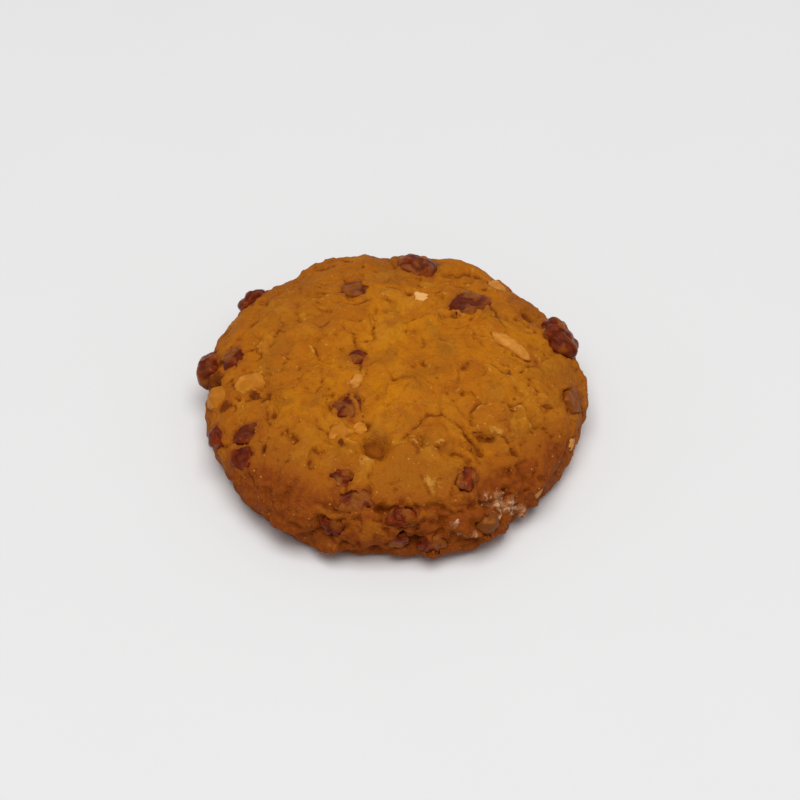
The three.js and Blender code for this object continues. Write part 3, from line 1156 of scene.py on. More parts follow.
class PlaneShape:
    """The form of a chopped solid: its face planes, met in rounded edges."""

    edge_power = 26.0

    def __init__(self, node: str) -> None:
        """Reads the solid's faces and keeps the direction and distance of each plane.

        Args:
            node: The solid's node.
        """
        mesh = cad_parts[node].data
        normals = np.empty(3 * len(mesh.polygons), dtype=np.float32)
        middles = np.empty_like(normals)
        mesh.polygons.foreach_get("normal", normals)
        mesh.polygons.foreach_get("center", middles)
        middles = middles.reshape(-1, 3) / MM
        self.normals = normals.reshape(-1, 3).astype(float)
        self.centre = middles.mean(axis=0)
        self.offsets = np.einsum("ij,ij->i", middles - self.centre, self.normals)

    def reach(self, directions: Array) -> Array:
        """Distance of the nearest plane along each direction, as a high power mean that rounds the edges."""
        nearness = np.clip(directions @ self.normals.T, 0.0, None) / self.offsets
        return (nearness**self.edge_power).sum(axis=-1) ** (-1.0 / self.edge_power)


class OvalShape:
    """An oval bit laid on the dough, with its middle sunk below the surface."""

    lumpiness = 0.4

    def __init__(self, bit: Bit, form: DoughForm, roundness: float) -> None:
        """Finds the bit's place, and its axes: along its heading, across, and outward.

        Args:
            bit: The bit.
            form: The dough that it lies on.
            roundness: Power of its superellipsoid, 2 for an ellipsoid.
        """
        self.roundness = roundness
        at = form.place(bit.spot)
        outward = form.outward(at)
        on_side = outward[2] < STEEP
        level = np.array([-outward[1], outward[0], 0.0]) if on_side else np.array([1.0, 0.0, 0.0])
        start = level - (level @ outward) * outward
        start /= np.linalg.norm(start)
        turn = math.radians(bit.heading)
        forward = math.cos(turn) * start + math.sin(turn) * np.cross(outward, start)
        lift = form.relief(at[None], outward[None])[0] - bit.sink
        self.centre = at + lift * outward
        self.axes = np.stack([forward, np.cross(outward, forward), outward])
        self.halves = 0.5 * np.array([bit.length, bit.width, bit.height])

    def reach(self, directions: Array) -> Array:
        """Works out the radius of the superellipsoid, made lumpy by noise.

        Args:
            directions: Unit vectors.

        Returns:
            A distance for each direction.
        """
        local = directions @ self.axes.T
        lumpy = 1.0 + self.lumpiness * askew(directions + self.centre, 0.8, 97)
        return lumpy / np.linalg.norm(local / self.halves, ord=self.roundness, axis=-1)


@dataclass
class Inclusion:
    """A piece baked into the dough. shape gives how far its surface lies from its middle in any direction."""

    name: str
    shape: CornerShape | PlaneShape | OvalShape
    form: DoughForm
    look: Look
    rows: int = 44
    columns: int = 88
    swell: float = 0.15
    least_upward: float = 0.05

    def __post_init__(self) -> None:
        """Finds the outward direction, the largest reach, and how far the middle lies below the surface."""
        centre = self.shape.centre
        self.outward = self.form.outward(centre)
        self.span = float(self.shape.reach(ball(20, 40).points).max())
        bearing = math.degrees(math.atan2(centre[1], centre[0]))
        on_top = self.outward[2] > STEEP
        above = self.form.place(OnTop(*centre[:2]) if on_top else OnSide(bearing, centre[2]))
        lift = self.form.relief(above[None], self.outward[None])[0]
        self.depth = float((above - centre) @ self.outward + lift)

    def reach(self, directions: Array) -> Array:
        """Works out how far the piece reaches along each direction from its middle.

        What stands out of the dough is pressed flatter: its rise nears the look's stand as 1 minus e to the
        minus rise over stand.

        Args:
            directions: Unit vectors.

        Returns:
            A distance for each direction.
        """
        plain = self.shape.reach(directions)
        upward = directions @ self.outward
        rise = np.maximum(plain * upward - self.depth, 0.0)
        pressed = self.look.stand * (1.0 - np.exp(-rise / self.look.stand))
        return np.where(rise > 0, (self.depth + pressed) / np.maximum(upward, self.least_upward), plain)

    def beside(self, points: Array) -> Array:
        """Measures how far each point lies outside the piece's surface, along the ray from its middle.

        Args:
            points: Places in millimetres.

        Returns:
            A distance for each place, below 0 inside the piece.
        """
        offset = points - self.shape.centre
        radius = np.linalg.norm(offset, axis=-1)
        return radius - self.reach(offset / np.maximum(radius, TINY)[:, None])

    def footprint(self, points: Array) -> Array:
        """Measures how far each point lies from the middle, seen from outward.

        Args:
            points: Places in millimetres.

        Returns:
            Shares of the way to the rim.
        """
        offset = points - self.shape.centre
        flat = offset - (offset @ self.outward)[:, None] * self.outward
        spread = np.linalg.norm(flat, axis=-1)
        return spread / self.shape.reach(flat / np.maximum(spread, TINY)[:, None])

    def underside(self, points: Array) -> Array:
        """Drops points along the outward direction onto the lower half of an ellipsoid of the piece's sizes.

        Args:
            points: Places in millimetres.

        Returns:
            The dropped places.
        """
        rise = (points - self.shape.centre) @ self.outward
        down = self.shape.reach(-self.outward[None])[0]
        floor = -down * np.sqrt(np.clip(1.0 - self.footprint(points) ** 2, 0.0, 1.0))
        return points + (floor - rise)[:, None] * self.outward

    def raw(self) -> Array:
        """The piece's surface before its own relief, as a ball of points."""
        directions = ball(self.rows, self.columns).points
        return self.shape.centre + directions * self.reach(directions)[:, None]

    def skinned(self, relief: Array, hollow_shade: Array) -> Surface:
        """Raises the relief on the ball, and lays patches of dough and bloom on it as the look says.

        Args:
            relief: Height over the raw surface along each ray.
            hollow_shade: Tone of the hollows.

        Returns:
            The surface, with tones for the painted shade of its hollows, the dough on it, its bloom and its
            paleness.
        """
        grid = ball(self.rows, self.columns)
        points = self.shape.centre + grid.points * (self.reach(grid.points) + self.swell + relief)[:, None]
        smear = SMEAR.share(points, self.look.smear)
        bloom = np.maximum(BLOOM.share(points), self.look.bloom - PATCHY_BLOOM)
        pale = np.full(len(points), self.look.pale)
        tones = {Tone.HOLLOW_SHADE: hollow_shade, Tone.STAIN: smear}
        tones |= {Tone.BLOOM: self.look.bloom * bloom, Tone.FLOUR: pale}
        return Surface(points, grid.quads, grid.triangles, tones)


@dataclass
class Raisin(Inclusion):
    """A raisin: the form of its solid drawn into wrinkles."""

    wrinkle_width: float = 2.8
    wrinkle_depth: float = 0.4
    wrinkle_spread: float = 0.3
    ridge_height: float = 0.1

    @classmethod
    def of_bit(cls, bit: Bit, form: DoughForm) -> "Raisin":
        """Makes a bit of raisin: an ellipsoid with finer wrinkles.

        Args:
            bit: The bit.
            form: The dough that it lies on.

        Returns:
            The piece.
        """
        look = Look(bit.smear, bloom=0.2, stand=0.3, bank=0.2)
        shape = OvalShape(bit, form, roundness=2.0)
        return cls("raisin_bits", shape, form, look, BIT_ROWS, BIT_COLUMNS,
                   wrinkle_width=1.6, wrinkle_depth=0.25)

    def surface(self) -> Surface:
        """Wrinkles the ball: valleys are furrows of a drifted noise, painted with shade, and finer noise
        roughens the ridges.

        Returns:
            The wrinkled surface.
        """
        raw = self.raw()
        valleys = furrows(WRINKLE_DRIFT.moved(raw), self.wrinkle_width, 94, self.wrinkle_spread)
        ridges = self.ridge_height * askew(raw, 0.9, 95)
        return self.skinned(ridges - self.wrinkle_depth * valleys, valleys)


@dataclass
class NutPiece(Inclusion):
    """A chopped nut piece: the planes of its solid, roughened by a low noise."""

    grain_height: float = 0.12
    fine_height: float = 0.04
    hollow_ramp: tuple[float, float] = (0.1, -0.6)

    @classmethod
    def of_bit(cls, bit: Bit, form: DoughForm) -> "NutPiece":
        """Makes a bit of nut: a superellipsoid, a little squarer than an ellipsoid.

        Args:
            bit: The bit.
            form: The dough that it lies on.

        Returns:
            The piece.
        """
        look = Look(smear=0.1, bloom=0.0, stand=0.5, bank=0.3, pale=bit.pale)
        shape = OvalShape(bit, form, roundness=2.6)
        return cls("nut_bits", shape, form, look, BIT_ROWS, BIT_COLUMNS)

    def surface(self) -> Surface:
        """Roughens the chopped faces by two noises, and paints shade into the hollows of the broader one.

        Returns:
            The roughened surface.
        """
        raw = self.raw()
        grain = askew(raw, 1.4, 101)
        relief = self.grain_height * grain + self.fine_height * askew(raw, 0.7, 102)
        return self.skinned(relief, smooth(*self.hollow_ramp, grain))


# The dough


@dataclass(frozen=True)
class BrowningAndShade:
    """How strongly the oven browns each part of the crust, and the ramps over which it does. The side that
    faces forward is darkened partly by browning and partly as painted shade.
    """

    wall: float = 0.4
    wall_ramp: tuple[float, float] = (15.5, 7.0)
    rim: float = 0.28
    rim_ramp: tuple[float, float] = (16.4, 12.5)
    # The side that faces forward is darker, partly browning and partly painted shade
    facing: float = 0.45
    forward_ramp: tuple[float, float] = (0.2, 0.8)
    facing_shade_ramp: tuple[float, float] = (17.0, 12.0)
    shoulder: float = 0.12
    chance: float = 0.25
    blocks: float = 0.8
    block_tint: float = 0.75

    def share(self, points: Array, form: DoughForm, tint: Array) -> Array:
        """Adds up the wall, its rim, the side that faces forward, the shoulders, chance and the blocks. The
        forward side's share is partly browning and partly painted shade.

        Args:
            points: Places on the plain form.
            form: The dough's form.
            tint: Tint of the plates and blocks.

        Returns:
            How brown the crust is at each place.
        """
        height = points[..., 2]
        forward = -points[..., 1] / np.hypot(points[..., 0], points[..., 1]).clip(1.0)
        facing = smooth(*self.forward_ramp, forward) * smooth(*self.facing_shade_ramp, height)
        brown = self.wall * smooth(*self.wall_ramp, height) + self.rim * smooth(*self.rim_ramp, height)
        brown = brown + self.facing * facing + self.shoulder * form.spotted(points, SHOULDER_SPOTS)
        brown = brown + self.chance * fractal(points, 10.0, 121)
        return brown + self.blocks * form.front(points) * (self.block_tint - tint)


@dataclass(frozen=True)
class Shading:
    """Weights of the crust's other tones: painted shade in hollows and the pit, and painted highlight on
    crests.

    Cells say how far the means reach that dips and nicks are measured from. Ramps are where a tone begins and
    where it is full, in millimetres of height for dips, nicks, crests and proud places.
    """

    fresh_spots: float = 0.8
    fresh_chance: float = 0.3
    dull_spots: float = 0.9
    dull_ramp: tuple[float, float] = (0.0, 0.8)
    dip_cells: int = 5
    dip_ramp: tuple[float, float] = (0.1, 0.7)
    nick_cells: int = 2
    nick_ramp: tuple[float, float] = (0.05, 0.4)
    # Painted shade in the pit
    pit: float = 0.75
    crest_highlight_ramp: tuple[float, float] = (0.04, 0.25)
    unbrowned_ramp: tuple[float, float] = (0.8, 0.0)
    pale_level: float = 0.7
    pale_proud: float = 0.5
    proud_ramp: tuple[float, float] = (0.02, 0.3)


@dataclass
class Dough:
    """The baked dough: rings from the crown down to the foot, and a base."""

    form: DoughForm
    pieces: list[Inclusion]
    browning_and_shade: BrowningAndShade = BrowningAndShade()
    shading: Shading = Shading()
    rings: int = 142
    sectors: int = 660
    base_shares: tuple[float, ...] = (0.985, 0.95, 0.88, 0.74, 0.55, 0.32, 0.12)
    base_rise: float = 0.18
    pit_calm: float = 0.9
    near_piece: float = 2.5
    bank_width: float = 1.3
    bank_mean: float = 0.5
    bank_wave: float = 1.5
    bank_limits: tuple[float, float] = (-0.2, 1.5)
    crease_depth: float = 0.35
    crease_width: float = 0.4
    crease_offset: float = 0.2
    creased: Patchy = Patchy(1.8, 0.0, 0.4, 111)
    hidden_depth: float = 0.5
    torn_share: float = 0.7
    torn_wave: float = 0.6
    stain_reach: float = 1.3
    stain_wave: float = 0.4

    def plain(self) -> tuple[Array, Array]:
        """Lays rings over the plain form, evenly spaced down its side, with points at even bearings.

        Returns:
            The points, by ring and bearing, and the outward directions there.
        """
        bearing = 2.0 * np.pi * np.arange(self.sectors) / self.sectors
        share, height = self.form.meridian(np.arange(1, self.rings + 1) / self.rings)
        radius = share[:, None] * self.form.plan_radius(bearing)
        level = np.broadcast_to(height[:, None], radius.shape)
        points = np.stack([radius * np.cos(bearing), radius * np.sin(bearing), level], axis=-1)
        around = np.roll(points, -1, axis=1) - np.roll(points, 1, axis=1)
        normals = np.cross(np.gradient(points, axis=0), around)
        normals /= np.linalg.norm(normals, axis=-1, keepdims=True)
        return points, normals

    def raised(self, plain: Array, normals: Array) -> tuple[Array, Array]:
        """Adds up the relief: the form's own, and the plates, blocks and crumb, which the pit has few of.

        Args:
            plain: Places on the plain form.
            normals: Outward directions there.

        Returns:
            Height over the plain form, and the tint of the plates and blocks.
        """
        plates, plate_tint = PLATES.lay(plain)
        blocks, block_tint = self.form.broken(plain)
        tint = plate_tint + self.form.front(plain) * (block_tint - plate_tint)
        calm = 1.0 - self.pit_calm * self.form.spotted(plain, DARK_SPOTS)
        fine = calm * (plates + blocks + self.form.crumb(plain, normals))
        above_foot = smooth(0.0, self.form.calm_foot, plain[..., 2])
        return self.form.relief(plain, normals) + above_foot * fine, tint

    def settle(self, points: Array, normals: Array) -> tuple[Array, Array]:
        """Beds the pieces in the dough.

        The dough banks up unevenly round each piece, with a crease along parts of its border. Dough that
        would lie inside the piece goes down to its underside, and so does the dough over its middle, which
        leaves a torn edge.

        Args:
            points: The dough's surface.
            normals: Outward directions of the plain form.

        Returns:
            The new surface, and how near each place is to a raisin, from 0 to 1.
        """
        near_raisin = np.zeros(points.shape[:-1])
        for piece in self.pieces:
            close = np.linalg.norm(points - piece.shape.centre, axis=-1) < piece.span + self.near_piece
            near = points[close]
            apart = piece.beside(near)
            uneven = np.clip(self.bank_mean + self.bank_wave * askew(near, 1.8, 114), *self.bank_limits)
            bank = piece.look.bank * uneven * bell(np.maximum(apart, 0.0) / self.bank_width)
            border = bell((apart - self.crease_offset) / self.crease_width)
            crease = self.crease_depth * self.creased.share(near) * border
            near = near + normals[close] * (bank - crease)[:, None]
            apart = piece.beside(near)
            torn = piece.footprint(near) + self.torn_wave * askew(near, 2.0, 115) < self.torn_share
            hidden = torn | (apart < -self.hidden_depth)
            points[close] = np.where(hidden[:, None], piece.underside(near), near)
            if isinstance(piece, Raisin):
                stain = smooth(self.stain_reach, 0.0, apart + self.stain_wave * askew(near, 1.2, 113))
                near_raisin[close] = np.maximum(near_raisin[close], stain)
        return points, near_raisin

    def tones(self, points: Array, normals: Array, relief: Array, tint: Array) -> dict[Tone, Array]:
        """Works out where the crust is brown, fresh, tan, painted with shade, painted with highlight, or
        floury.

        Dips and nicks are the mean height over a wide and a narrow square of cells, less the height itself;
        deep dips and nicks are painted with shade.
        Crests are the reverse of nicks, where the crust isn't brown, and get painted highlight, as do the
        raised tops of the pale spots.

        Args:
            points: Places on the plain form.
            normals: Outward directions there.
            relief: Height of the surface over the plain form.
            tint: Tint of the plates and blocks.

        Returns:
            A value for every tone and point.
        """
        by = self.shading
        dips = blurred(relief, by.dip_cells) - relief
        nicks = blurred(relief, by.nick_cells) - relief
        brown = self.browning_and_shade.share(points, self.form, tint)
        fresh = by.fresh_spots * self.form.spotted(points, FRESH_SPOTS)
        fresh = fresh + by.fresh_chance * fractal(points, 8.0, 131)
        dull = by.dull_spots * self.form.spotted(points, DULL_SPOTS)
        dull = dull + smooth(*by.dull_ramp, fractal(points, 6.0, 135))
        # Painted shade in dips and nicks
        deep = smooth(*by.dip_ramp, dips) + smooth(*by.nick_ramp, nicks)
        # Painted highlight on crests, and on the raised tops of the pale spots
        crest_highlight = smooth(*by.crest_highlight_ramp, -nicks) * smooth(*by.unbrowned_ramp, brown)
        proud = by.pale_level + by.pale_proud * smooth(*by.proud_ramp, -dips)
        pale = self.form.spotted(points, PALE_SPOTS) * proud
        return {
            Tone.BROWN: brown,
            Tone.FRESH: fresh,
            Tone.TAN: dull,
            Tone.HOLLOW_SHADE: deep + by.pit * self.form.spotted(points, DARK_SPOTS),
            Tone.CREST_HIGHLIGHT: np.maximum(crest_highlight, pale),
            Tone.FLOUR: self.form.streaked(drifted(points, FLOUR_DRIFTS), normals, FLOUR_STREAKS),
        }

    def base(self, rim: Array) -> Surface:
        """Closes the grid below, with a little relief upward.

        Args:
            rim: The lowest ring of the grid, which counts as the first ring.

        Returns:
            Rings drawn in from the rim and a middle, without the rim's own points.
        """
        count = len(rim)
        rings = np.concatenate([rim * np.array([share, share, 0.0]) for share in self.base_shares])
        rings[:, 2] = self.base_rise * np.clip(askew(rings, 2.5, 151), 0.0, None)
        number = np.arange((len(self.base_shares) + 1) * count).reshape(-1, count)
        triangles = fan_faces(number.size, number[-1])[:, ::-1]
        return Surface(np.concatenate([rings, np.zeros((1, 3))]), band_faces(number), triangles)

    def surface(self) -> Surface:
        """Raises the relief on the plain form, beds the pieces in it, and closes it at the crown and below.

        Returns:
            The closed dough with all its tones. Its base is browned and has no cracks.
        """
        plain, normals = self.plain()
        relief, tint = self.raised(plain, normals)
        points = plain + normals * relief[..., None]
        points[..., 2] = np.maximum(points[..., 2], 0.0)
        points, near_raisin = self.settle(points, normals)
        tones = self.tones(plain, normals, relief, tint)
        # The crack tone paints shade into cracks and gaps
        tones |= {Tone.PLATE: tint, Tone.STAIN: near_raisin, Tone.CRACK_SHADE: self.form.crack_gap(plain, normals)}
        number = np.arange(self.rings * self.sectors).reshape(self.rings, self.sectors)
        crown = number.size
        base = self.base(points[-1])
        renumber = np.concatenate([number[-1], crown + 1 + np.arange(len(base.points))])
        below = {Tone.BROWN: 0.6, Tone.CRACK_SHADE: 1.0}
        for tone, values in tones.items():
            floor = np.full(len(base.points), below.get(tone, 0.0))
            tones[tone] = np.concatenate([values.ravel(), values[0, :1], floor])
        corners = np.concatenate([points.reshape(-1, 3), points[0].mean(axis=0)[None], base.points])
        quads = np.concatenate([band_faces(number), renumber[base.quads]])
        triangles = np.concatenate([fan_faces(crown, number[0]), renumber[base.triangles]])
        return Surface(corners, quads, triangles, tones)


# Finishes


def linear(colour: str) -> tuple[float, float, float, float]:
    """Turns an sRGB hex colour into linear red, green, blue and alpha."""
    parts = [int(colour[n:n + 2], 16) / 255 for n in (1, 3, 5)]
    return (*[c / 12.92 if c <= 0.04045 else ((c + 0.055) / 1.055) ** 2.4 for c in parts], 1.0)


def add(
    tree: bpy.types.NodeTree, kind: str, inputs: dict | None = None, **settings: object
) -> bpy.types.Node:
    """Adds a shader node.

    Args:
        tree: The material's node tree.
        kind: The node's type.
        inputs: For each input, a socket to link or a value to set.
        settings: Values of the node's own properties.

    Returns:
        The new node.
    """
    node = tree.nodes.new(kind)
    for name, value in settings.items():
        setattr(node, name, value)
    for key, value in (inputs or {}).items():
        if isinstance(value, bpy.types.NodeSocket):
            tree.links.new(value, node.inputs[key])
        else:
            node.inputs[key].default_value = value
    return node


@dataclass(frozen=True)
class Mottle:
    """Cloudy noise: the width of its clouds in millimetres, its finer octaves, and how strong they are."""

    width: float
    detail: float = 3.0
    strength: float = 0.6


@dataclass(frozen=True)
class Frayed:
    """A tone with ragged borders.

    The swing of a noise about its middle is added to the tone, times reach. width is in millimetres, and
    detail is how many finer octaves the noise has.
    """

    tone: Tone
    width: float
    reach: float
    detail: float = 2.0
    middle: float = 0.5


@dataclass(frozen=True)
class Specks:
    """Distance from specks in shares of their spacing in millimetres. Only a share of the cells hold one."""

    spacing: float
    share: float


Source = Mottle | Tone | Frayed | Specks


@dataclass(frozen=True)
class Layer:
    """A colour laid over those before it, where its source runs from low (none) to high (the most of it)."""

    colour: str
    source: Source
    low: float = 0.0
    high: float = 1.0
    most: float = 1.0


@dataclass(frozen=True)
class Grain:
    """Relief too fine for the mesh: a height in millimetres, reached as its source runs from low to high."""

    source: Source
    height: float
    low: float = 0.0
    high: float = 1.0


@dataclass(frozen=True)
class Finish:
    """A finish: layers of colour over a ground, a roughness that varies, and fine grains of relief."""

    name: str
    ground: str
    layers: tuple[Layer, ...]
    grains: tuple[Grain, ...]
    gloss_mottle: Mottle
    smoothest: float
    roughest: float
    ior: float
    specular: float
    gloss_tint: str = "#ffffff"
    gloss_low: float = 0.3
    gloss_high: float = 0.7

    def pattern(self, tree: bpy.types.NodeTree, source: Source) -> bpy.types.NodeSocket:
        """Works out a source on the object's own coordinates.

        A frayed tone adds the noise's swing about its middle. Cells that hold no speck count as one cell
        further off.

        Args:
            tree: The material's node tree.
            source: What is wanted.

        Returns:
            The socket that carries its value.
        """
        if isinstance(source, Tone):
            return add(tree, "ShaderNodeAttribute", attribute_name=source.value).outputs["Fac"]
        place = add(tree, "ShaderNodeTexCoord").outputs["Object"]
        if isinstance(source, Mottle):
            inputs = {"Vector": place, "Scale": 1.0 / (source.width * MM)}
            inputs |= {"Detail": source.detail, "Roughness": source.strength}
            return add(tree, "ShaderNodeTexNoise", inputs).outputs["Fac"]
        if isinstance(source, Frayed):
            inputs = {0: self.pattern(tree, Mottle(source.width, source.detail)), 1: -source.middle}
            swing = add(tree, "ShaderNodeMath", inputs, operation="ADD").outputs[0]
            inputs = {0: swing, 1: source.reach, 2: self.pattern(tree, source.tone)}
            return add(tree, "ShaderNodeMath", inputs, operation="MULTIPLY_ADD").outputs[0]
        cells = add(tree, "ShaderNodeTexVoronoi", {"Vector": place, "Scale": 1.0 / (source.spacing * MM)})
        draw = add(tree, "ShaderNodeSeparateColor", {"Color": cells.outputs["Color"]}).outputs[0]
        empty = add(tree, "ShaderNodeMath", {0: draw, 1: source.share}, operation="GREATER_THAN").outputs[0]
        inputs = {0: empty, 1: cells.outputs["Distance"]}
        return add(tree, "ShaderNodeMath", inputs, operation="ADD").outputs[0]

    def material(self) -> bpy.types.Material:
        """Mixes the layers in order, stacks the grains, and gives one shader colour, roughness and relief.

        Returns:
            The new material.
        """
        material = bpy.data.materials.new(self.name)
        material.use_nodes = True
        tree = material.node_tree
        tree.nodes.clear()
        inputs = {"Value": self.pattern(tree, self.gloss_mottle)}
        inputs |= {"From Min": self.gloss_low, "From Max": self.gloss_high}
        inputs |= {"To Min": self.smoothest, "To Max": self.roughest}
        roughness = add(tree, "ShaderNodeMapRange", inputs).outputs[0]
        shading = {"Roughness": roughness, "IOR": self.ior}
        shading |= {"Specular IOR Level": self.specular, "Specular Tint": linear(self.gloss_tint)}
        colour: object = linear(self.ground)
        for layer in self.layers:
            inputs = {"Value": self.pattern(tree, layer.source)}
            inputs |= {"From Min": layer.low, "From Max": layer.high, "To Max": layer.most}
            factor = add(tree, "ShaderNodeMapRange", inputs).outputs[0]
            mixed = {0: factor, 6: colour, 7: linear(layer.colour)}
            colour = add(tree, "ShaderNodeMix", mixed, data_type="RGBA").outputs[2]
        relief: dict[str, object] = {}
        for grain in self.grains:
            inputs = {"Value": self.pattern(tree, grain.source)}
            inputs |= {"From Min": grain.low, "From Max": grain.high}
            rise = add(tree, "ShaderNodeMapRange", inputs).outputs[0]
            bump = add(tree, "ShaderNodeBump", relief | {"Height": rise, "Distance": grain.height * MM})
            relief = {"Normal": bump.outputs[0]}
        shader = add(tree, "ShaderNodeBsdfPrincipled", shading | relief | {"Base Color": colour})
        add(tree, "ShaderNodeOutputMaterial", {"Surface": shader.outputs[0]})
        return material


@dataclass(frozen=True)
class BakedDough(Finish):
    """Short dough baked on a tray: golden, brown where it stood to the heat and darker on its forward side
    partly as painted shade, yellow where it tore.
    """

    name: str = "baked_lemon_dough"
    ground: str = "#b4680e"
    layers: tuple[Layer, ...] = (
        # Open yellow crumb, dull crust, and plates and clouds of several browns
        Layer("#c67a09", Frayed(Tone.FRESH, 2.0, 0.5), 0.1, 1.0, 0.9),
        Layer("#8e5616", Frayed(Tone.TAN, 2.0, 0.5), 0.0, 1.0, 0.6),
        Layer("#a45a10", Frayed(Tone.PLATE, 1.2, 0.3), 0.45, 0.15, 0.6),
        Layer("#c07c1c", Frayed(Tone.PLATE, 1.2, 0.3), 0.6, 0.9, 0.6),
        Layer("#a86018", Mottle(6.0), 0.52, 0.68, 0.5),
        Layer("#a05212", Mottle(3.0), 0.52, 0.7, 0.4),
        # Crust browned by the oven and darker on its forward side partly as painted shade, then nearly burnt,
        # and small brown clouds
        Layer("#984e10", Frayed(Tone.BROWN, 1.6, 0.5), 0.0, 1.0, 0.95),
        Layer("#742c0c", Frayed(Tone.BROWN, 1.2, 0.8), 0.7, 1.3),
        Layer("#8e4a0a", Mottle(1.1), 0.5, 0.68, 0.2),
        # Painted highlight on crests and raised pale crumb, juice beside the raisins, and painted shade in
        # hollows, the pit, cracks and gaps
        Layer("#d09640", Frayed(Tone.CREST_HIGHLIGHT, 0.9, 1.8), 0.65, 1.2, 0.7),
        Layer("#7c341a", Frayed(Tone.STAIN, 0.9, 0.8), 0.4, 1.0, 0.35),
        Layer("#743403", Tone.HOLLOW_SHADE, 0.0, 1.0, 0.9),
        Layer("#5c2406", Frayed(Tone.CRACK_SHADE, 0.5, 0.3), 0.14, 0.02, 0.85),
        # Dark specks painted as shade in small pits, pale specks painted as glints, and flour
        Layer("#6c3606", Specks(2.2, 0.06), 0.2, 0.1, 0.6),
        Layer("#d8a050", Specks(1.5, 0.14), 0.14, 0.05, 0.8),
        Layer("#d09848", Specks(1.0, 0.12), 0.22, 0.08, 0.5),
        Layer("#a87048", Frayed(Tone.FLOUR, 1.7, 3.0), 0.6, 1.1, 0.85),
        Layer("#d0a47e", Frayed(Tone.FLOUR, 1.2, 3.6), 0.9, 1.4),
    )
    grains: tuple[Grain, ...] = (
        Grain(Mottle(1.2, 2.0), -0.35),
        Grain(Mottle(0.6, 2.0), -0.18),
        Grain(Specks(2.2, 0.06), 0.15, 0.05, 0.22),
    )
    gloss_mottle: Mottle = Mottle(0.9)
    smoothest: float = 0.5
    roughest: float = 0.8
    ior: float = 1.42
    specular: float = 0.08


@dataclass(frozen=True)
class RaisinSkin(Finish):
    """Sun-dried grape skin: dark red-brown, with painted shade in its folds and painted highlight on its
    ridges, a dull bloom and smears of dough.
    """

    name: str = "sun_dried_raisin"
    ground: str = "#70260c"
    layers: tuple[Layer, ...] = (
        # Redder and blacker clouds, bloom, painted highlight on the ridges, painted shade in the folds, and
        # dough
        Layer("#8c360e", Mottle(3.4), 0.5, 0.66, 0.7),
        Layer("#561a0e", Mottle(2.6), 0.5, 0.38),
        Layer("#8e4e22", Frayed(Tone.BLOOM, 1.2, 0.8), 0.3, 1.0, 0.7),
        Layer("#a86430", Frayed(Tone.HOLLOW_SHADE, 0.8, 0.9), 0.05, -0.3, 0.7),
        Layer("#480e04", Tone.HOLLOW_SHADE, 0.2, 1.0, 0.7),
        Layer("#905016", Frayed(Tone.STAIN, 1.2, 0.8), 0.2, 1.1, 0.75),
    )
    grains: tuple[Grain, ...] = (Grain(Mottle(0.6), 0.12),)
    gloss_mottle: Mottle = Mottle(0.8)
    smoothest: float = 0.24
    roughest: float = 0.5
    ior: float = 1.46
    specular: float = 0.3
    gloss_tint: str = "#e8a878"


@dataclass(frozen=True)
class ToastedNut(Finish):
    """Chopped nut toasted in the oven: tan-orange and smooth, paler where cut, with dough smeared on it."""

    name: str = "toasted_nut"
    ground: str = "#c47a22"
    layers: tuple[Layer, ...] = (
        # Paler clouds, painted shade in the hollows, dough, dark skin that on the front lump also stands for
        # painted shade, and pale cut faces
        Layer("#da9238", Mottle(4.0), 0.52, 0.68, 0.9),
        Layer("#a4611a", Tone.HOLLOW_SHADE, 0.0, 1.0, 0.6),
        Layer("#b26a12", Frayed(Tone.STAIN, 0.8, 0.6), 0.2, 1.0, 0.9),
        Layer("#743c14", Frayed(Tone.BLOOM, 1.4, 1.0), 0.1, 0.9, 0.95),
        Layer("#e8b26c", Frayed(Tone.FLOUR, 1.2, 0.5), 0.1, 0.9, 0.95),
    )
    grains: tuple[Grain, ...] = (Grain(Mottle(0.7), 0.06),)
    gloss_mottle: Mottle = Mottle(0.9)
    smoothest: float = 0.42
    roughest: float = 0.7
    ior: float = 1.45
    specular: float = 0.12


@dataclass(frozen=True)
class StudioPaper(Finish):
    """Pale matt background paper, with the faintest unevenness in its colour."""

    name: str = "studio_paper"
    ground: str = "#e8e8e8"
    layers: tuple[Layer, ...] = (Layer("#e6e6e6", Mottle(40.0)),)
    grains: tuple[Grain, ...] = ()
    gloss_mottle: Mottle = Mottle(30.0)
    smoothest: float = 0.95
    roughest: float = 1.0
    ior: float = 1.1
    specular: float = 0.1


# The studio


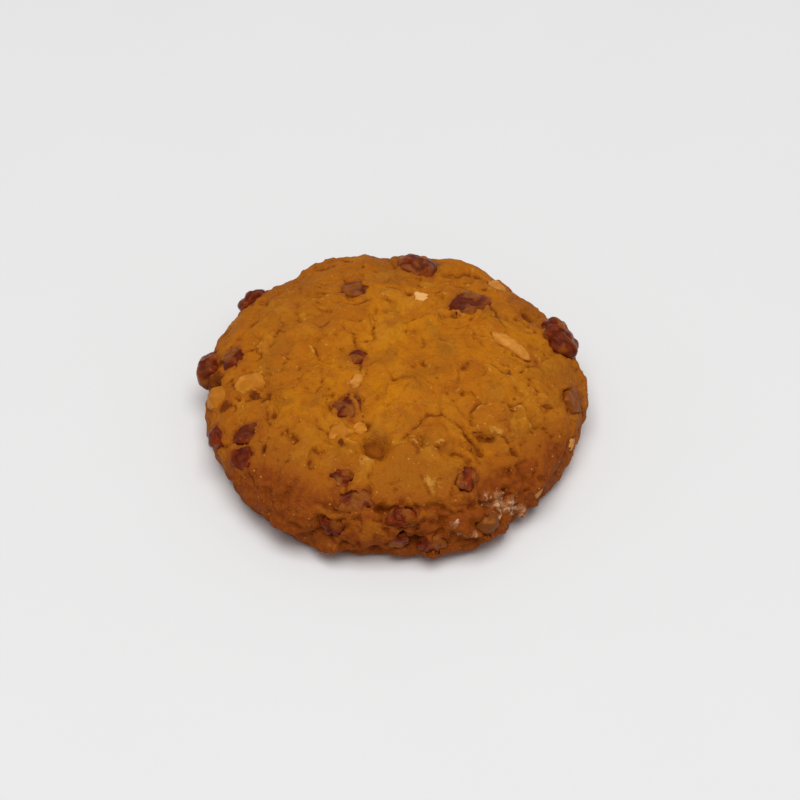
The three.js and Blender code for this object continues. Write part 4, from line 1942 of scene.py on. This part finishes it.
@dataclass
class Studio:
    """A pale table, one broad soft lamp overhead and a camera that looks down at 45 degrees. In metres."""

    aim: tuple[float, float, float] = (0.00145, 0.0, 0.0055)
    elevation: float = 45.0
    distance: float = 0.42
    lens: float = 91.9
    floor_half: float = 3.0
    lamp_place: tuple[float, float, float] = (0.0, -0.25, 1.4)
    lamp_size: float = 1.1
    lamp_power: float = 17.0
    sky: float = 0.33

    def floor(self) -> None:
        """Lays a square floor of background paper."""
        h = self.floor_half / MM
        corners = np.array([[-h, -h, 0], [h, -h, 0], [h, h, 0], [-h, h, 0]], dtype=float)
        plane = Surface(corners, np.array([[0, 1, 2, 3]]), np.empty((0, 3), int)).piece("floor")
        plane.data.materials.append(StudioPaper().material())

    def turn(self, thing: bpy.types.Object, place: Array, towards: Array) -> None:
        """Puts a lamp or camera into the scene.

        Args:
            thing: The lamp or camera.
            place: Where it stands.
            towards: The direction that it looks in.
        """
        thing.location = Vector(place)
        thing.rotation_euler = Vector(towards).to_track_quat("-Z", "Y").to_euler()
        bpy.context.scene.collection.objects.link(thing)

    def lamps(self) -> None:
        """Hangs a soft square lamp turned to the cookie, under an even sky."""
        data = bpy.data.lights.new("softbox", "AREA")
        data.shape = "SQUARE"
        data.size = self.lamp_size
        data.energy = self.lamp_power
        place = np.array(self.lamp_place)
        self.turn(bpy.data.objects.new("softbox", data), place, np.array(self.aim) - place)
        world = bpy.data.worlds.new("studio")
        world.use_nodes = True
        sky = world.node_tree.nodes["Background"]
        sky.inputs["Color"].default_value = (1.0, 1.0, 1.0, 1.0)
        sky.inputs["Strength"].default_value = self.sky
        bpy.context.scene.world = world

    def camera(self) -> None:
        """Looks at the aim from the front and above, through a long lens."""
        data = bpy.data.cameras.new("camera")
        data.lens = self.lens
        camera = bpy.data.objects.new("camera", data)
        slope = math.radians(self.elevation)
        back = np.array([0.0, -math.cos(slope), math.sin(slope)])
        self.turn(camera, np.array(self.aim) + self.distance * back, -back)
        bpy.context.scene.camera = camera
        bpy.context.scene.view_settings.view_transform = "Standard"


def main() -> None:
    """Builds the cookie piece by piece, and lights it."""
    logging.basicConfig(level=logging.INFO, format="%(name)s: %(message)s")
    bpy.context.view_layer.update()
    form = DoughForm()
    nodes = sorted(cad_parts)
    raisins = [Raisin(node, CornerShape(node), form, LOOKS.get(node, PLAIN_RAISIN))
               for node in nodes if node.startswith("raisin")]
    nuts = [NutPiece(node, PlaneShape(node), form, LOOKS.get(node, PLAIN_NUT))
            for node in nodes if node.startswith("nut")]
    raisin_bits = [Raisin.of_bit(bit, form) for bit in RAISIN_BITS]
    nut_bits = [NutPiece.of_bit(bit, form) for bit in NUT_BITS]
    dough = Dough(form, [*raisins, *nuts, *raisin_bits, *nut_bits])
    adopt(dough.surface().piece("dough_crust"), BakedDough().material(), "dough")
    skin = RaisinSkin().material()
    for raisin in raisins:
        adopt(raisin.surface().piece(raisin.name + "_flesh"), skin, raisin.name)
    adopt(joined([bit.surface() for bit in raisin_bits]).piece("raisin_bits"), skin, "dough")
    toasted = ToastedNut().material()
    for nut in nuts:
        adopt(nut.surface().piece(nut.name + "_flesh"), toasted, nut.name)
    adopt(joined([bit.surface() for bit in nut_bits]).piece("nut_bits"), toasted, "dough")
    studio = Studio()
    studio.floor()
    studio.lamps()
    studio.camera()


if __name__ == "__main__":
    main()
